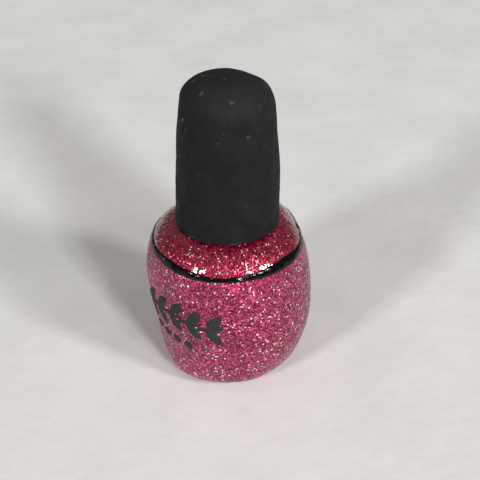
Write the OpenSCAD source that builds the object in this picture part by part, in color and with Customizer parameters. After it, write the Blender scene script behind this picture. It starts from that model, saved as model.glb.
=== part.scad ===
// Nail polish bottle: a squat round glass bottle under a glitter coat, with a tall matte cap that
// carries the brush. Origin at the middle of the foot ring, on the surface that the bottle stands on.

/* [Bottle] */
// Widest radius of the glass, before its coat
glass_r = 17.15; // [15:0.05:21]
// Height of the widest place above the foot
belly_z = 19.6; // [17:0.1:23]
// Radius of the long swell of the side
side_bow_r = 58; // [45:1:90]
// Radius of the heel, between the foot and the side
heel_r = 5.8; // [5:0.1:7.5]
// Radius of the shoulder, between the side and the flat round the neck
shoulder_r = 7.8; // [6:0.1:8.4]
// Height of the flat round the neck
shoulder_z = 35.5; // [34:0.1:44]
// Thickness of the glass wall
glass_wall = 2.5; // [1.8:0.1:3]
// How far the floor inside rises at its middle
floor_rise = 1.4; // [0.5:0.1:2]
// Width of the foot ring that the bottle stands on
foot_ring_w = 1.3; // [1:0.1:3]
// Depth of the hollow under the base
base_hollow_h = 0.6; // [0.3:0.05:1]

/* [Neck] */
// Radius of the neck between its threads
neck_r = 5.75; // [5.5:0.05:7]
// Height of the thread over the neck, which makes a 13 mm finish
thread_h = 0.78; // [0.6:0.01:0.9]
// Rise of the thread in one turn, 12 threads to the inch
thread_pitch = 2.117; // [1.8:0.001:2.6]
// Turns of thread on the neck
neck_thread_turns = 1.6; // [1:0.1:2]
// Height of the neck above the shoulder
neck_h = 11.2; // [10.5:0.1:13]
// Radius of the bore that the brush passes through
mouth_r = 3.7; // [3:0.05:4]
// Fillet at the foot of the neck, outside and inside
neck_fillet_r = 1; // [0.5:0.1:1.5]
// Rounding of the lip
lip_edge = 0.4; // [0.2:0.05:0.6]

/* [Coat and paint] */
// Thickness of the glitter coat
coat_t = 0.35; // [0.2:0.05:0.5]
// How far the painted line lies below the flat round the neck
line_drop = 4.3; // [3.5:0.1:5]
// Width of the painted line
line_w = 1.4; // [0.7:0.1:2]
// Thickness of the paint over the coat
paint_t = 0.15; // [0.1:0.01:0.25]
// Direction that the painted sprig faces
sprig_az = -135; // [-180:1:180]
// Height of the middle of the sprig
sprig_z = 19.4; // [16:0.1:22]
// Length of one painted leaf
leaf_len = 4.6; // [3:0.1:5]
// Width of one painted leaf
leaf_w = 2.4; // [1:0.1:2.8]
// Width of one stroke of the painted stalk
stalk_w = 1.4; // [0.8:0.1:2]
// Radius of one painted dot
dot_r = 1.1; // [0.6:0.1:1.4]
// Thickness of the round sticker under the base
label_t = 0.15; // [0.1:0.01:0.25]
// Gap between the sticker's edge and the wall of the base hollow
label_gap = 0.3; // [0.1:0.05:1]

/* [Filling] */
// Height of the empty space above the polish
head_space = 3.4; // [2:0.1:12]
// Radius of a mixing ball
ball_r = 2.2; // [1.5:0.05:2.3]
// Clearance of a ball over the glass
ball_clear = 0.04; // [0.02:0.01:0.1]
// Room in the polish round the balls' track
track_clear = 0.3; // [0.2:0.05:0.4]
// Room in the polish round the brush
brush_room = 0.3; // [0.2:0.05:0.6]

/* [Cap] */
// Room for the fins between the screw cap and the outer cap's wall, at the rim
fin_reach = 1.4; // [1:0.02:2.4]
// How much narrower the cap is where its dome begins than at its rim
cap_taper = 1.35; // [0.5:0.05:1.9]
// Height of the cap, rim to crown
cap_h = 32; // [28:0.5:40]
// Height of the domed crown
crown_h = 7.2; // [5:0.1:9]
// Squareness of the crown: 1 is an ellipse, less is squarer
crown_power = 0.87; // [0.7:0.05:1]
// Wall of the outer cap
cap_wall = 1.3; // [1:0.1:1.6]
// Gap between the cap's rim and the coated shoulder
rim_gap = 0.35; // [0.3:0.05:0.8]
// Bevel of the rim
rim_bevel = 0.35; // [0.2:0.05:0.5]
// Number of gripping fins inside the outer cap, an even number
fin_count = 12; // [8:2:16]
// Thickness of one fin
fin_t = 0.9; // [0.6:0.1:1.2]
// How far each fin steps inwards above the screw cap, which stops against the step
fin_stop = 1; // [0.6:0.1:1.4]

/* [Screw cap] */
// Clearance between the two threads' crests
thread_clear = 0.1; // [0.08:0.01:0.2]
// Height of the screw cap's thread ridge
screw_ridge_h = 0.45; // [0.3:0.05:0.6]
// Turns of the screw cap's thread
screw_turns = 1.4; // [1:0.1:1.6]
// Wall of the screw cap
screw_wall = 1.3; // [1:0.05:1.4]
// Thickness of the screw cap's top
screw_top_t = 1.6; // [1.2:0.1:2]
// Gap between the screw cap's rim and the outer cap's rim
screw_rim_up = 0.4; // [0.2:0.1:1]
// Number of grip grooves round the screw cap
groove_count = 24; // [18:1:30]
// Radius of one grip groove
groove_r = 0.35; // [0.25:0.05:0.4]
// Thickness of the sealing liner
liner_t = 0.8; // [0.5:0.1:1.2]
// Clearance round the liner, inside the screw cap
liner_clear = 0.15; // [0.1:0.05:0.3]
// Running clearance between the liner and the stem
stem_clear = 0.05; // [0.02:0.01:0.1]

/* [Brush] */
// Radius of the stem
stem_r = 1.9; // [1.6:0.05:2]
// Radius of the plug that the stem holds to the screw cap by
plug_r = 2.6; // [2.3:0.05:3]
// Radius of the stem's head
head_r = 4.2; // [3.5:0.1:5]
// Thickness of the stem's head
head_t = 1.2; // [0.8:0.1:1.6]
// Clearance of the brush's tip over the middle of the floor
tip_clear = 2.5; // [1.5:0.1:5]
// Length of bristle outside the stem
bristle_len = 13; // [11:0.5:15]
// Length of bristle inside the stem
socket_h = 4; // [3:0.1:5]
// Radius of the bristles' root
bristle_root_r = 1.25; // [1:0.05:1.3]
// Radius of the bristles at their fullest
bristle_belly_r = 1.95; // [1.5:0.05:2.2]
// Thickness of the anchor that holds the bristles
anchor_t = 0.3; // [0.2:0.05:0.4]
// Height of the anchor
anchor_h = 1.6; // [1:0.1:2]
// How far the anchor bites into the stem on each side
anchor_bite = 0.25; // [0.15:0.05:0.35]

/* [Hidden] */
$fn = 96;
// plain neck above the thread, and how deep a thread's root goes into its wall
thread_lead_in = 1.9;
ridge_root = 0.4;
// centres of the heel, the side's swell and the shoulder, whose arcs run into each other smoothly
side_x = glass_r - side_bow_r;
heel_z = heel_r;
heel_x = side_x + sqrt(pow(side_bow_r - heel_r, 2) - pow(belly_z - heel_z, 2));
round_z = shoulder_z - shoulder_r;
round_x = side_x + sqrt(pow(side_bow_r - shoulder_r, 2) - pow(round_z - belly_z, 2));
// angles at which one arc hands over to the next
low_a = atan2(heel_z - belly_z, heel_x - side_x);
high_a = atan2(round_z - belly_z, round_x - side_x);
// the painted line's middle and half width, as angles on the shoulder
line_a = asin((shoulder_r - line_drop) / (shoulder_r + coat_t));
line_half_a = line_w / 2 / (shoulder_r + coat_t) * 180 / PI;
// points to each arc, shared by the glass and all that lies on it
heel_steps = 12;
coat_foot_step = 4;
side_steps = 10;
heel_angles = [for (i = [0:heel_steps]) -90 + (low_a + 90) * i / heel_steps];
side_angles = [for (i = [0:side_steps]) low_a + (high_a - low_a) * i / side_steps];
under_line_angles = [for (i = [0:2]) high_a + (line_a - line_half_a - high_a) * i / 2];
over_line_angles = [for (i = [0:10]) line_a + line_half_a + (90 - line_a - line_half_a) * i / 10];
shoulder_angles = concat(under_line_angles, [line_a], over_line_angles);
// inside of the bottle
ceiling_z = shoulder_z - glass_wall;
polish_level_z = ceiling_z - head_space;
foot_inner_r = heel_x - foot_ring_w;
// neck
lip_z = shoulder_z + neck_h;
thread_crest_r = neck_r + thread_h;
neck_thread_z = lip_z - thread_lead_in - thread_pitch * neck_thread_turns;
// cap, from its rim upwards
rim_z = shoulder_z + coat_t + rim_gap;
crown_z = rim_z + cap_h;
dome_z = crown_z - crown_h;
screw_rim_z = rim_z + screw_rim_up;
liner_z = lip_z;
screw_ceiling_z = liner_z + liner_t;
screw_top_z = screw_ceiling_z + screw_top_t;
screw_bore_r = thread_crest_r + thread_clear + screw_ridge_h;
screw_r = screw_bore_r + screw_wall;
cap_rim_r = screw_r + fin_reach + cap_wall;
cap_top_r = cap_rim_r - cap_taper;
fin_foot_up = 0.8;
fin_head_up = 3;
fin_foot_z = screw_rim_z + fin_foot_up;
fin_head_z = screw_top_z + head_t + fin_head_up;
// brush, whose stem narrows a little over its lowest stretch
stem_foot_in = 0.3;
stem_foot_h = 1;
tip_z = glass_wall + floor_rise + tip_clear;
bristle_foot_z = tip_z + bristle_len;
anchor_z = bristle_foot_z + (socket_h - anchor_h) / 2;
// painted sprig: steps along its stalk, where its leaves and dots lie, and how deep a dab is cut
stalk_step = 4.4;
stalk_wave = 0.5;
stalk_tilt = 6;
leaf_tilt = 48;
leaf_at = [[1.2, 1.9], [0.9, -1.9]];
dot_step = 3.2;
dot_at = [-3, -6.2];
dot_slope = -0.2;
bud_at = [2.55 * stalk_step, 0.2];
dab_depth = 6;
// overshoot of a cut past the face that it opens
over = 1;
// balls
ball_z = glass_wall + ball_r + ball_clear;
ball_az = [25, 205];

// points of an arc in the order of the given angles
function arc(x, z, r, angles) = [for (a = angles) [x + r * cos(a), z + r * sin(a)]];
function reversed(list) = [for (i = [len(list) - 1:-1:0]) list[i]];
function tail(list, first) = [for (i = [first:len(list) - 1]) list[i]];

// the three stretches of the bottle's outline, moved outwards by off
function heel(off) = arc(heel_x, heel_z, heel_r + off, heel_angles);
function side(off) = arc(side_x, belly_z, side_bow_r + off, side_angles);
function shoulder(off, angles) = arc(round_x, round_z, shoulder_r + off, angles);

// the glass's inner outline up to its ceiling, from the middle of the floor
function inside() = concat(
    [for (i = [0:10]) let (u = i / 11) [heel_x * u, glass_wall + floor_rise * (1 + cos(180 * u)) / 2]],
    heel(-glass_wall), tail(side(-glass_wall), 1), tail(shoulder(-glass_wall, shoulder_angles), 1));

// one ring of a thread ridge's section at a turning angle; its crest sinks to the wall at both ends
function ridge_ring(wall_r, crest_r, embed, z, a, grown) =
    let (root = wall_r - embed, crest = wall_r + (crest_r - wall_r) * grown - embed * (1 - grown) / 2,
         foot_w = thread_pitch * 0.36, crest_w = thread_pitch * 0.14)
    [for (p = [[root, -foot_w], [root, foot_w], [crest, crest_w], [crest, -crest_w]])
        [p[0] * cos(a), p[0] * sin(a), z + p[1]]];

// a helical thread ridge: wall_r is the wall it stands on and embed how deep its root goes into it
module thread_ridge(wall_r, crest_r, embed, z, turns) {
    steps = round(turns * 30);
    fade = 4;
    inward = crest_r < wall_r;
    points = [for (i = [0:steps], p = ridge_ring(wall_r, crest_r, embed,
        z + thread_pitch * turns * i / steps, 360 * turns * i / steps,
        min(1, min(i, steps - i) / fade))) p];
    skins = [for (i = [0:steps - 1], k = [0:3]) let (n = (k + 1) % 4)
        each [[4 * i + k, 4 * i + n, 4 * i + 4 + k], [4 * i + n, 4 * i + 4 + n, 4 * i + 4 + k]]];
    last = 4 * steps;
    ends = [[0, 3, 2], [0, 2, 1], [last, last + 1, last + 2], [last, last + 2, last + 3]];
    faces = concat(skins, ends);
    polyhedron(points, inward ? faces : [for (f = faces) [f[2], f[1], f[0]]]);
}

module glass_bottle() {
    outer = concat([[foot_inner_r, 0]], heel(0), tail(side(0), 1), tail(shoulder(0, shoulder_angles), 1));
    fillet_angles = [for (a = [180:18:270]) a];
    neck = concat(
        arc(neck_r + neck_fillet_r, shoulder_z + neck_fillet_r, neck_fillet_r, reversed(fillet_angles)),
        [[neck_r, lip_z - lip_edge], [neck_r - lip_edge, lip_z],
         [mouth_r + lip_edge, lip_z], [mouth_r, lip_z - lip_edge]],
        arc(mouth_r + neck_fillet_r, ceiling_z + neck_fillet_r, neck_fillet_r, fillet_angles));
    hollow = [[0, base_hollow_h], [foot_inner_r, base_hollow_h]];
    color("lightcyan", 0.5) union() {
        rotate_extrude() polygon(concat(outer, neck, reversed(inside()), hollow));
        thread_ridge(neck_r, thread_crest_r, ridge_root, neck_thread_z, neck_thread_turns);
    }
}

// skin between the glass and the coat's outside, over the given stretches of the outline
module glitter_coat() {
    angles = concat(under_line_angles, [line_a]);
    function skin(off) = concat(
        tail(heel(off), coat_foot_step), tail(side(off), 1), tail(shoulder(off, angles), 1));
    color("palevioletred") rotate_extrude() polygon(concat(skin(coat_t), reversed(skin(0))));
}

module shoulder_glaze() {
    angles = concat([line_a], over_line_angles);
    flat_r = neck_r + neck_fillet_r;
    color("crimson") rotate_extrude() polygon(concat(
        shoulder(coat_t, angles), [[flat_r, shoulder_z + coat_t], [flat_r, shoulder_z]],
        reversed(shoulder(0, angles))));
}

// the line's section is a low ridge over the meeting of the two coats
module shoulder_band() {
    edges = [line_a - line_half_a, line_a, line_a + line_half_a];
    crest = [for (s = [0.7, 0, -0.7]) line_a + line_half_a * s];
    color("black") rotate_extrude() polygon(concat(
        shoulder(coat_t, edges), shoulder(coat_t + paint_t, crest)));
}

// outline of a leaf, pointed at both ends
module leaf(length, width) {
    r = (length * length + width * width) / (4 * width);
    intersection() {
        translate([0, r - width / 2]) circle(r);
        translate([0, width / 2 - r]) circle(r);
    }
}

// a dab of paint through the side at a distance along and up from the sprig's middle
module dab(along, up, tilt) {
    dab_az = sprig_az + along / glass_r * 180 / PI;
    rotate([0, 0, dab_az]) translate([glass_r - dab_depth / 2, 0, sprig_z + up])
        rotate([90, 0, 90]) rotate([0, 0, tilt]) linear_extrude(dab_depth) children();
}

module painted_sprig() {
    color("black") intersection() {
        rotate_extrude() polygon(concat(side(coat_t + paint_t), reversed(side(coat_t))));
        union() {
            // stalk strokes, with a leaf above and a leaf below at each meeting
            for (i = [-2:2]) let (x = i * stalk_step, y = stalk_wave * cos(i * 90)) {
                dab(x, y, stalk_tilt) leaf(stalk_step * 1.25, stalk_w);
                dab(x + leaf_at[0][0], y + leaf_at[0][1], leaf_tilt) leaf(leaf_len, leaf_w);
                dab(x + leaf_at[1][0], y + leaf_at[1][1], -leaf_tilt) leaf(leaf_len, leaf_w);
            }
            // a row of round dots below, and a bud at the stalk's end
            for (i = [-1:2]) dab(dot_at[0] + i * dot_step, dot_at[1] + i * dot_slope, 0) circle(dot_r);
            dab(bud_at[0], bud_at[1], 0) circle(stalk_w / 2);
        }
    }
}

module base_label() {
    color("white") translate([0, 0, base_hollow_h - label_t])
        cylinder(r = foot_inner_r - label_gap, h = label_t);
}

module polish() {
    color("mediumvioletred") difference() {
        intersection() {
            rotate_extrude() polygon(concat(inside(), [[0, ceiling_z]]));
            cylinder(r = glass_r, h = polish_level_z);
        }
        translate([0, 0, tip_z - brush_room])
            cylinder(r = max(bristle_belly_r, stem_r) + brush_room, h = polish_level_z);
        rotate_extrude() translate([heel_x, ball_z]) circle(ball_r + track_clear);
    }
}

module mixing_ball(az) {
    color("silver") rotate([0, 0, az]) translate([heel_x, 0, ball_z]) sphere(ball_r);
}

module mixing_ball_a() { mixing_ball(ball_az[0]); }

module mixing_ball_b() { mixing_ball(ball_az[1]); }

// outline of the outer cap moved inwards by inset, from its rim to the middle of its crown
function cap_outline(inset) = concat(
    [[cap_rim_r - inset, rim_z]],
    [for (i = [0:15]) let (a = 90 * i / 16)
        [(cap_top_r - inset) * pow(cos(a), crown_power),
         dome_z + (crown_h - inset) * pow(sin(a), crown_power)]],
    [[0, crown_z - inset]]);

module fins() {
    fin_h = fin_head_z - fin_foot_z;
    intersection() {
        rotate_extrude() polygon(concat([[0, rim_z]], cap_outline(cap_wall / 2)));
        difference() {
            for (i = [0:fin_count / 2 - 1]) rotate([0, 0, 360 / fin_count * i])
                translate([-cap_rim_r, -fin_t / 2, fin_foot_z]) cube([2 * cap_rim_r, fin_t, fin_h]);
            translate([0, 0, rim_z]) cylinder(r = screw_r, h = screw_top_z - rim_z);
            translate([0, 0, rim_z]) cylinder(r = screw_r - fin_stop, h = cap_h);
        }
    }
}

module overcap() {
    color("dimgray") union() {
        difference() {
            rotate_extrude() polygon(concat(
                [[0, rim_z], [cap_rim_r - rim_bevel, rim_z], [cap_rim_r, rim_z + rim_bevel]],
                tail(cap_outline(0), 1)));
            rotate_extrude() polygon(concat([[0, rim_z]], cap_outline(cap_wall)));
        }
        fins();
    }
}

module inner_cap() {
    color("black") union() {
        difference() {
            translate([0, 0, screw_rim_z]) cylinder(r = screw_r, h = screw_top_z - screw_rim_z);
            translate([0, 0, screw_rim_z - over])
                cylinder(r = screw_bore_r, h = screw_ceiling_z - screw_rim_z + over);
            cylinder(r = plug_r, h = screw_top_z + over);
            for (i = [0:groove_count - 1]) rotate([0, 0, (i + 0.5) * 360 / groove_count])
                translate([screw_r, 0, screw_rim_z - over]) cylinder(r = groove_r, h = screw_top_z);
        }
        thread_ridge(screw_bore_r, screw_bore_r - screw_ridge_h, -ridge_root,
                     neck_thread_z - thread_pitch / 2, screw_turns);
    }
}

module seal_liner() {
    color("white") translate([0, 0, liner_z]) difference() {
        cylinder(r = screw_bore_r - liner_clear, h = liner_t);
        translate([0, 0, -over]) cylinder(r = stem_r + stem_clear, h = liner_t + 2 * over);
    }
}

module anchor_plate() {
    anchor_w = 2 * (bristle_root_r + anchor_bite);
    translate([-anchor_w / 2, -anchor_t / 2, anchor_z]) cube([anchor_w, anchor_t, anchor_h]);
}

module brush_stem() {
    color("gray") difference() {
        rotate_extrude() polygon([
            [0, bristle_foot_z], [stem_r - stem_foot_in, bristle_foot_z],
            [stem_r, bristle_foot_z + stem_foot_h], [stem_r, screw_ceiling_z],
            [plug_r, screw_ceiling_z], [plug_r, screw_top_z], [head_r, screw_top_z],
            [head_r, screw_top_z + head_t], [0, screw_top_z + head_t]]);
        translate([0, 0, bristle_foot_z - over]) cylinder(r = bristle_root_r, h = socket_h + over);
        anchor_plate();
    }
}

// the tuft swells from its root to its belly, then closes to a round tip
function swell(t) = pow(sin(90 * min(1, (1 - t) / 0.7)), 1.5);
function tip_round(t) = sqrt(max(0, 1 - pow(max(0, 1 - t / 0.22), 2)));
function tuft_r(t) = (bristle_root_r + (bristle_belly_r - bristle_root_r) * swell(t)) * tip_round(t);

module bristles() {
    color("dimgray") difference() {
        rotate_extrude() polygon(concat(
            [for (i = [0:20]) let (t = i / 20) [tuft_r(t), tip_z + bristle_len * t]],
            [[bristle_root_r, bristle_foot_z + socket_h], [0, bristle_foot_z + socket_h]]));
        anchor_plate();
    }
}

module bristle_anchor() { color("silver") anchor_plate(); }

glass_bottle();
glitter_coat();
shoulder_glaze();
shoulder_band();
painted_sprig();
base_label();
polish();
mixing_ball_a();
mixing_ball_b();
overcap();
inner_cap();
seal_liner();
brush_stem();
bristles();
bristle_anchor();
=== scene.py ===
"""Looks of a nail polish bottle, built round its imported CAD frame.

Everything is in metres, in the frame of the CAD model: +Z is up and the origin is the middle of the foot.
"""

import logging
import math
import random
from collections.abc import Callable, Sequence
from dataclasses import dataclass, field
from enum import Enum

import bmesh
import bpy
from mathutils import Matrix, Vector, noise


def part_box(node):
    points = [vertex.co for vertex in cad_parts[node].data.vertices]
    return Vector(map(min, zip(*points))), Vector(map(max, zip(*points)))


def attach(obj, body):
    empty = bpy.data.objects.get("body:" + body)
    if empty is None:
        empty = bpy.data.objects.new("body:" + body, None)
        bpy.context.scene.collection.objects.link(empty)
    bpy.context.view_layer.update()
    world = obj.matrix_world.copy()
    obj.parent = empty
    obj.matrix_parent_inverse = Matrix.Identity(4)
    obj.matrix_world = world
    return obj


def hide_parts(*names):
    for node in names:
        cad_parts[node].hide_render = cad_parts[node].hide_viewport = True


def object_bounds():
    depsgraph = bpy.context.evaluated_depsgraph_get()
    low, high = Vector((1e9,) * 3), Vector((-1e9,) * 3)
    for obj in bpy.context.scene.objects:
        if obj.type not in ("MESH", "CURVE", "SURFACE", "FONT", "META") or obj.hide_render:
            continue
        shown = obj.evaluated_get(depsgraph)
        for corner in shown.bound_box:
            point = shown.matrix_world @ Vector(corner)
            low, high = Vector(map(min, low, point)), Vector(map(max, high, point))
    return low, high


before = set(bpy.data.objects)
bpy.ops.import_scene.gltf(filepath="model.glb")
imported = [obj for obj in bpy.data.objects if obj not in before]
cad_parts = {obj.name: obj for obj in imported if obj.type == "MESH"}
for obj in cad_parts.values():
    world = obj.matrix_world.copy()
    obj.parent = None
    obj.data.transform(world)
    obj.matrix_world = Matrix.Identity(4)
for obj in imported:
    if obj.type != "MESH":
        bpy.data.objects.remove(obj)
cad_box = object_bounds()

log = logging.getLogger("nail_polish_bottle")

MM = 0.001
HALVINGS = 3             # a turned mesh is made of a wedge, doubled this many times
Colour = tuple[float, float, float]
Point2 = tuple[float, float]
Move = Callable[[Vector], Vector]


class Body(Enum):
    """The bodies that pieces ride on."""

    BOTTLE = "bottle"
    LINER = "liner"
    CAP = "cap"
    BALL_A = "ball_a"
    BALL_B = "ball_b"


class Slot(Enum):
    """The record's material slots."""

    GLASS = "clear_glass"
    PINK = "pink_glitter"
    CRIMSON = "crimson_glitter"
    GLOSS_PAINT = "gloss_black_paint"
    MATTE_PAINT = "matte_black_paint"
    PAPER = "label_paper"
    LACQUER = "lacquer"
    STEEL = "ball_steel"
    CAP = "cap_black"
    CLOSURE = "closure_plastic"
    FOAM = "liner_foam"
    STEM = "stem_plastic"
    NYLON = "bristle_nylon"
    ANCHOR = "anchor_metal"


# ---------------------------------------------------------------------------------------------------
# Mesh tools


def lathe(profile: Sequence[Point2], steps: int, closed: bool = False) -> bmesh.types.BMesh:
    """Turns an outline once round the Z axis.

    Args:
        profile: Points of the outline, each a radius and a height.
        steps: Columns of faces round the axis, a multiple of 2 to the power HALVINGS.
        closed: True where the last point joins the first, as on a ring.

    Returns:
        A closed bmesh with its faces pointing outwards.
    """
    bm = bmesh.new()
    verts = [bm.verts.new((r, 0.0, z)) for r, z in profile]
    edges = [bm.edges.new(pair) for pair in zip(verts, verts[1:])]
    if closed:
        edges.append(bm.edges.new((verts[-1], verts[0])))
    wedge = math.tau / 2 ** HALVINGS
    bmesh.ops.spin(
        bm, geom=verts + edges, cent=(0, 0, 0), axis=(0, 0, 1), angle=wedge, steps=steps // 2 ** HALVINGS,
        use_merge=False, use_normal_flip=False, use_duplicate=False)
    for i in range(HALVINGS):
        copy = bmesh.ops.duplicate(bm, geom=bm.verts[:] + bm.edges[:] + bm.faces[:])
        turned = [g for g in copy["geom"] if isinstance(g, bmesh.types.BMVert)]
        bmesh.ops.rotate(bm, verts=turned, cent=(0, 0, 0), matrix=Matrix.Rotation(wedge * 2 ** i, 3, "Z"))
    bmesh.ops.remove_doubles(bm, verts=bm.verts[:], dist=1e-7)
    bmesh.ops.recalc_face_normals(bm, faces=bm.faces[:])
    return bm


def reshape(bm: bmesh.types.BMesh, move: Move) -> None:
    """Moves every vertex of a mesh to where a rule says.

    Args:
        bm: The mesh.
        move: Gives a vertex's new place from its old one.
    """
    for v in bm.verts:
        v.co = move(v.co)


def absorb(bm: bmesh.types.BMesh, part: bmesh.types.BMesh) -> None:
    """Adds a part to a mesh and frees the part.

    Args:
        bm: The mesh to add to.
        part: The part.
    """
    carrier = bpy.data.meshes.new("carrier")
    part.to_mesh(carrier)
    part.free()
    bm.from_mesh(carrier)
    bpy.data.meshes.remove(carrier)


def add_copy(bm: bmesh.types.BMesh, part: bpy.types.Mesh, move: Move) -> None:
    """Adds a copy of a part to a mesh.

    Args:
        bm: The mesh to add to.
        part: The part.
        move: Gives a vertex's new place from its place in the part.
    """
    copy = bmesh.new()
    copy.from_mesh(part)
    reshape(copy, move)
    absorb(bm, copy)


def polar(p: Vector) -> tuple[float, float]:
    """Gives the radius and the azimuth of a point, in metres and radians."""
    return math.hypot(p.x, p.y), math.atan2(p.y, p.x)


def at(r: float, azimuth: float, z: float) -> Vector:
    """Gives the point at a radius, an azimuth and a height."""
    return Vector((r * math.cos(azimuth), r * math.sin(azimuth), z))


def smoothstep(low: float, high: float, x: float) -> float:
    """Gives a smooth rise from 0 at low to 1 at high."""
    t = min(1.0, max(0.0, (x - low) / (high - low)))
    return t * t * (3 - 2 * t)


def bump(x: float, middle: float, width: float) -> float:
    """Gives a smooth bump, 1 at its middle and nearly 0 two widths away."""
    return math.exp(-(((x - middle) / width) ** 2))


def ripple(p: Vector, wavelength: float, seed: float) -> float:
    """Gives smooth noise between about -1 and 1 at a point.

    Args:
        p: The point.
        wavelength: Size of the noise's features, in metres.
        seed: Shifts the noise, so that two uses differ.

    Returns:
        The noise's value.
    """
    return noise.noise(p / wavelength + Vector((seed, 2 * seed, -seed)))


def arc(x: float, z: float, r: float, start: float, end: float, steps: int) -> list[Point2]:
    """Gives points along an arc of an outline.

    Args:
        x: Radius at which the arc's centre lies.
        z: Height of the arc's centre.
        r: Radius of the arc.
        start: First angle, in radians.
        end: Last angle, in radians.
        steps: Stretches between the points.

    Returns:
        The points, both ends included.
    """
    angles = [start + (end - start) * i / steps for i in range(steps + 1)]
    return [(x + r * math.cos(a), z + r * math.sin(a)) for a in angles]


def spread(a: Point2, b: Point2, steps: int) -> list[Point2]:
    """Gives even points on the straight from a to b, without a itself."""
    shares = [i / steps for i in range(1, steps + 1)]
    return [(a[0] + (b[0] - a[0]) * s, a[1] + (b[1] - a[1]) * s) for s in shares]


@dataclass(frozen=True)
class Piece:
    """What a finished mesh is called, what it rides on and what it stands for."""

    name: str
    body: Body
    slot: Slot
    node: str
    sharp_deg: float = 50.0

    def place(self, bm: bmesh.types.BMesh, material: bpy.types.Material) -> bpy.types.Object:
        """Makes the object, with its place in its mesh, and hands it to the frame.

        Args:
            bm: The mesh, which is freed.
            material: Its finish.

        Returns:
            The object.
        """
        sharp = math.radians(self.sharp_deg)
        for face in bm.faces:
            face.smooth = True
        for edge in bm.edges:
            edge.smooth = len(edge.link_faces) != 2 or edge.calc_face_angle(0.0) < sharp
        mesh = bpy.data.meshes.new(self.name)
        bm.to_mesh(mesh)
        bm.free()
        mesh.materials.append(material)
        piece = bpy.data.objects.new(self.name, mesh)
        bpy.context.scene.collection.objects.link(piece)
        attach(piece, self.body.value)
        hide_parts(self.node)
        log.info("%s: %d faces, rides on %s", self.name, len(mesh.polygons), self.body.value)
        return piece


# ---------------------------------------------------------------------------------------------------
# Shader tools and shared groups


class Desk:
    """Adds and links the nodes of one shader tree."""

    def __init__(self, tree: bpy.types.NodeTree) -> None:
        """Keeps the tree to work on."""
        self.tree = tree

    def add(self, kind: str, settings: dict | None = None, **inputs: object) -> bpy.types.Node:
        """Adds a node.

        Args:
            kind: The node's type, without its ShaderNode prefix.
            settings: Properties to set on the node.
            **inputs: A value or a socket for each named input, with _ for a space.

        Returns:
            The node.
        """
        node = self.tree.nodes.new("ShaderNode" + kind)
        for key, value in (settings or {}).items():
            setattr(node, key, value)
        for key, value in inputs.items():
            self.feed(node.inputs[key.replace("_", " ")], value)
        return node

    def feed(self, socket: bpy.types.NodeSocket, value: object) -> None:
        """Links a socket to another one, or sets its value.

        Args:
            socket: The socket.
            value: Another socket, or a value.
        """
        if isinstance(value, bpy.types.NodeSocket):
            self.tree.links.new(value, socket)
        else:
            socket.default_value = value

    def mix(self, share: object, a: object, b: object, blend: str = "MIX") -> bpy.types.NodeSocket:
        """Mixes two colours.

        Args:
            share: How much of b, a value or a socket.
            a: The first colour.
            b: The second colour.
            blend: Blender's name of the way to mix.

        Returns:
            The mixed colour's socket.
        """
        node = self.tree.nodes.new("ShaderNodeMix")
        node.data_type, node.blend_type = "RGBA", blend
        by_identifier = {s.identifier: s for s in node.inputs}
        for name, value in (("Factor_Float", share), ("A_Color", a), ("B_Color", b)):
            self.feed(by_identifier[name], solid(value) if isinstance(value, tuple) else value)
        return next(s for s in node.outputs if s.identifier == "Result_Color")

    def math(self, operation: str, a: object, b: object = 0.0) -> bpy.types.NodeSocket:
        """Works out one step on numbers and gives its socket.

        Args:
            operation: Blender's name of the step.
            a: The first number or its socket.
            b: The second one.

        Returns:
            The result's socket.
        """
        node = self.tree.nodes.new("ShaderNodeMath")
        node.operation = operation
        self.feed(node.inputs[0], a)
        self.feed(node.inputs[1], b)
        return node.outputs[0]

    def ramp(self, value: object, low: object, high: object, start: float = 0.0,
             end: float = 1.0) -> bpy.types.NodeSocket:
        """Maps a value smoothly from low..high to start..end and gives its socket.

        Args:
            value: The value or its socket.
            low: Where the rise starts.
            high: Where it ends.
            start: The result at low.
            end: The result at high.

        Returns:
            The result's socket.
        """
        node = self.add("MapRange", {"interpolation_type": "SMOOTHSTEP"}, Value=value,
                        From_Min=low, From_Max=high, To_Min=start, To_Max=end)
        return node.outputs["Result"]

    def vector(self, operation: str, a: object, b: object = None,
               scale: object = None) -> bpy.types.NodeSocket:
        """Works out one step on vectors and gives its socket.

        Args:
            operation: Blender's name of the step.
            a: The first vector or its socket.
            b: The second one, where the step takes it.
            scale: A number or its socket, where the step takes it.

        Returns:
            The result's socket.
        """
        node = self.tree.nodes.new("ShaderNodeVectorMath")
        node.operation = operation
        self.feed(node.inputs[0], a)
        if b is not None:
            self.feed(node.inputs[1], b)
        if scale is not None:
            self.feed(node.inputs["Scale"], scale)
        return node.outputs["Vector"]

    def noise(self, vector: object, scale: object, detail: float = 3.0,
              roughness: float = 0.5) -> bpy.types.NodeSocket:
        """Gives the socket of a noise value, around 0.5."""
        node = self.add("TexNoise", None, Vector=vector, Scale=scale, Detail=detail, Roughness=roughness)
        return node.outputs["Fac"]


def solid(colour: Colour) -> tuple[float, float, float, float]:
    """Gives a colour its full alpha."""
    return (*colour[:3], 1.0)


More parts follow.
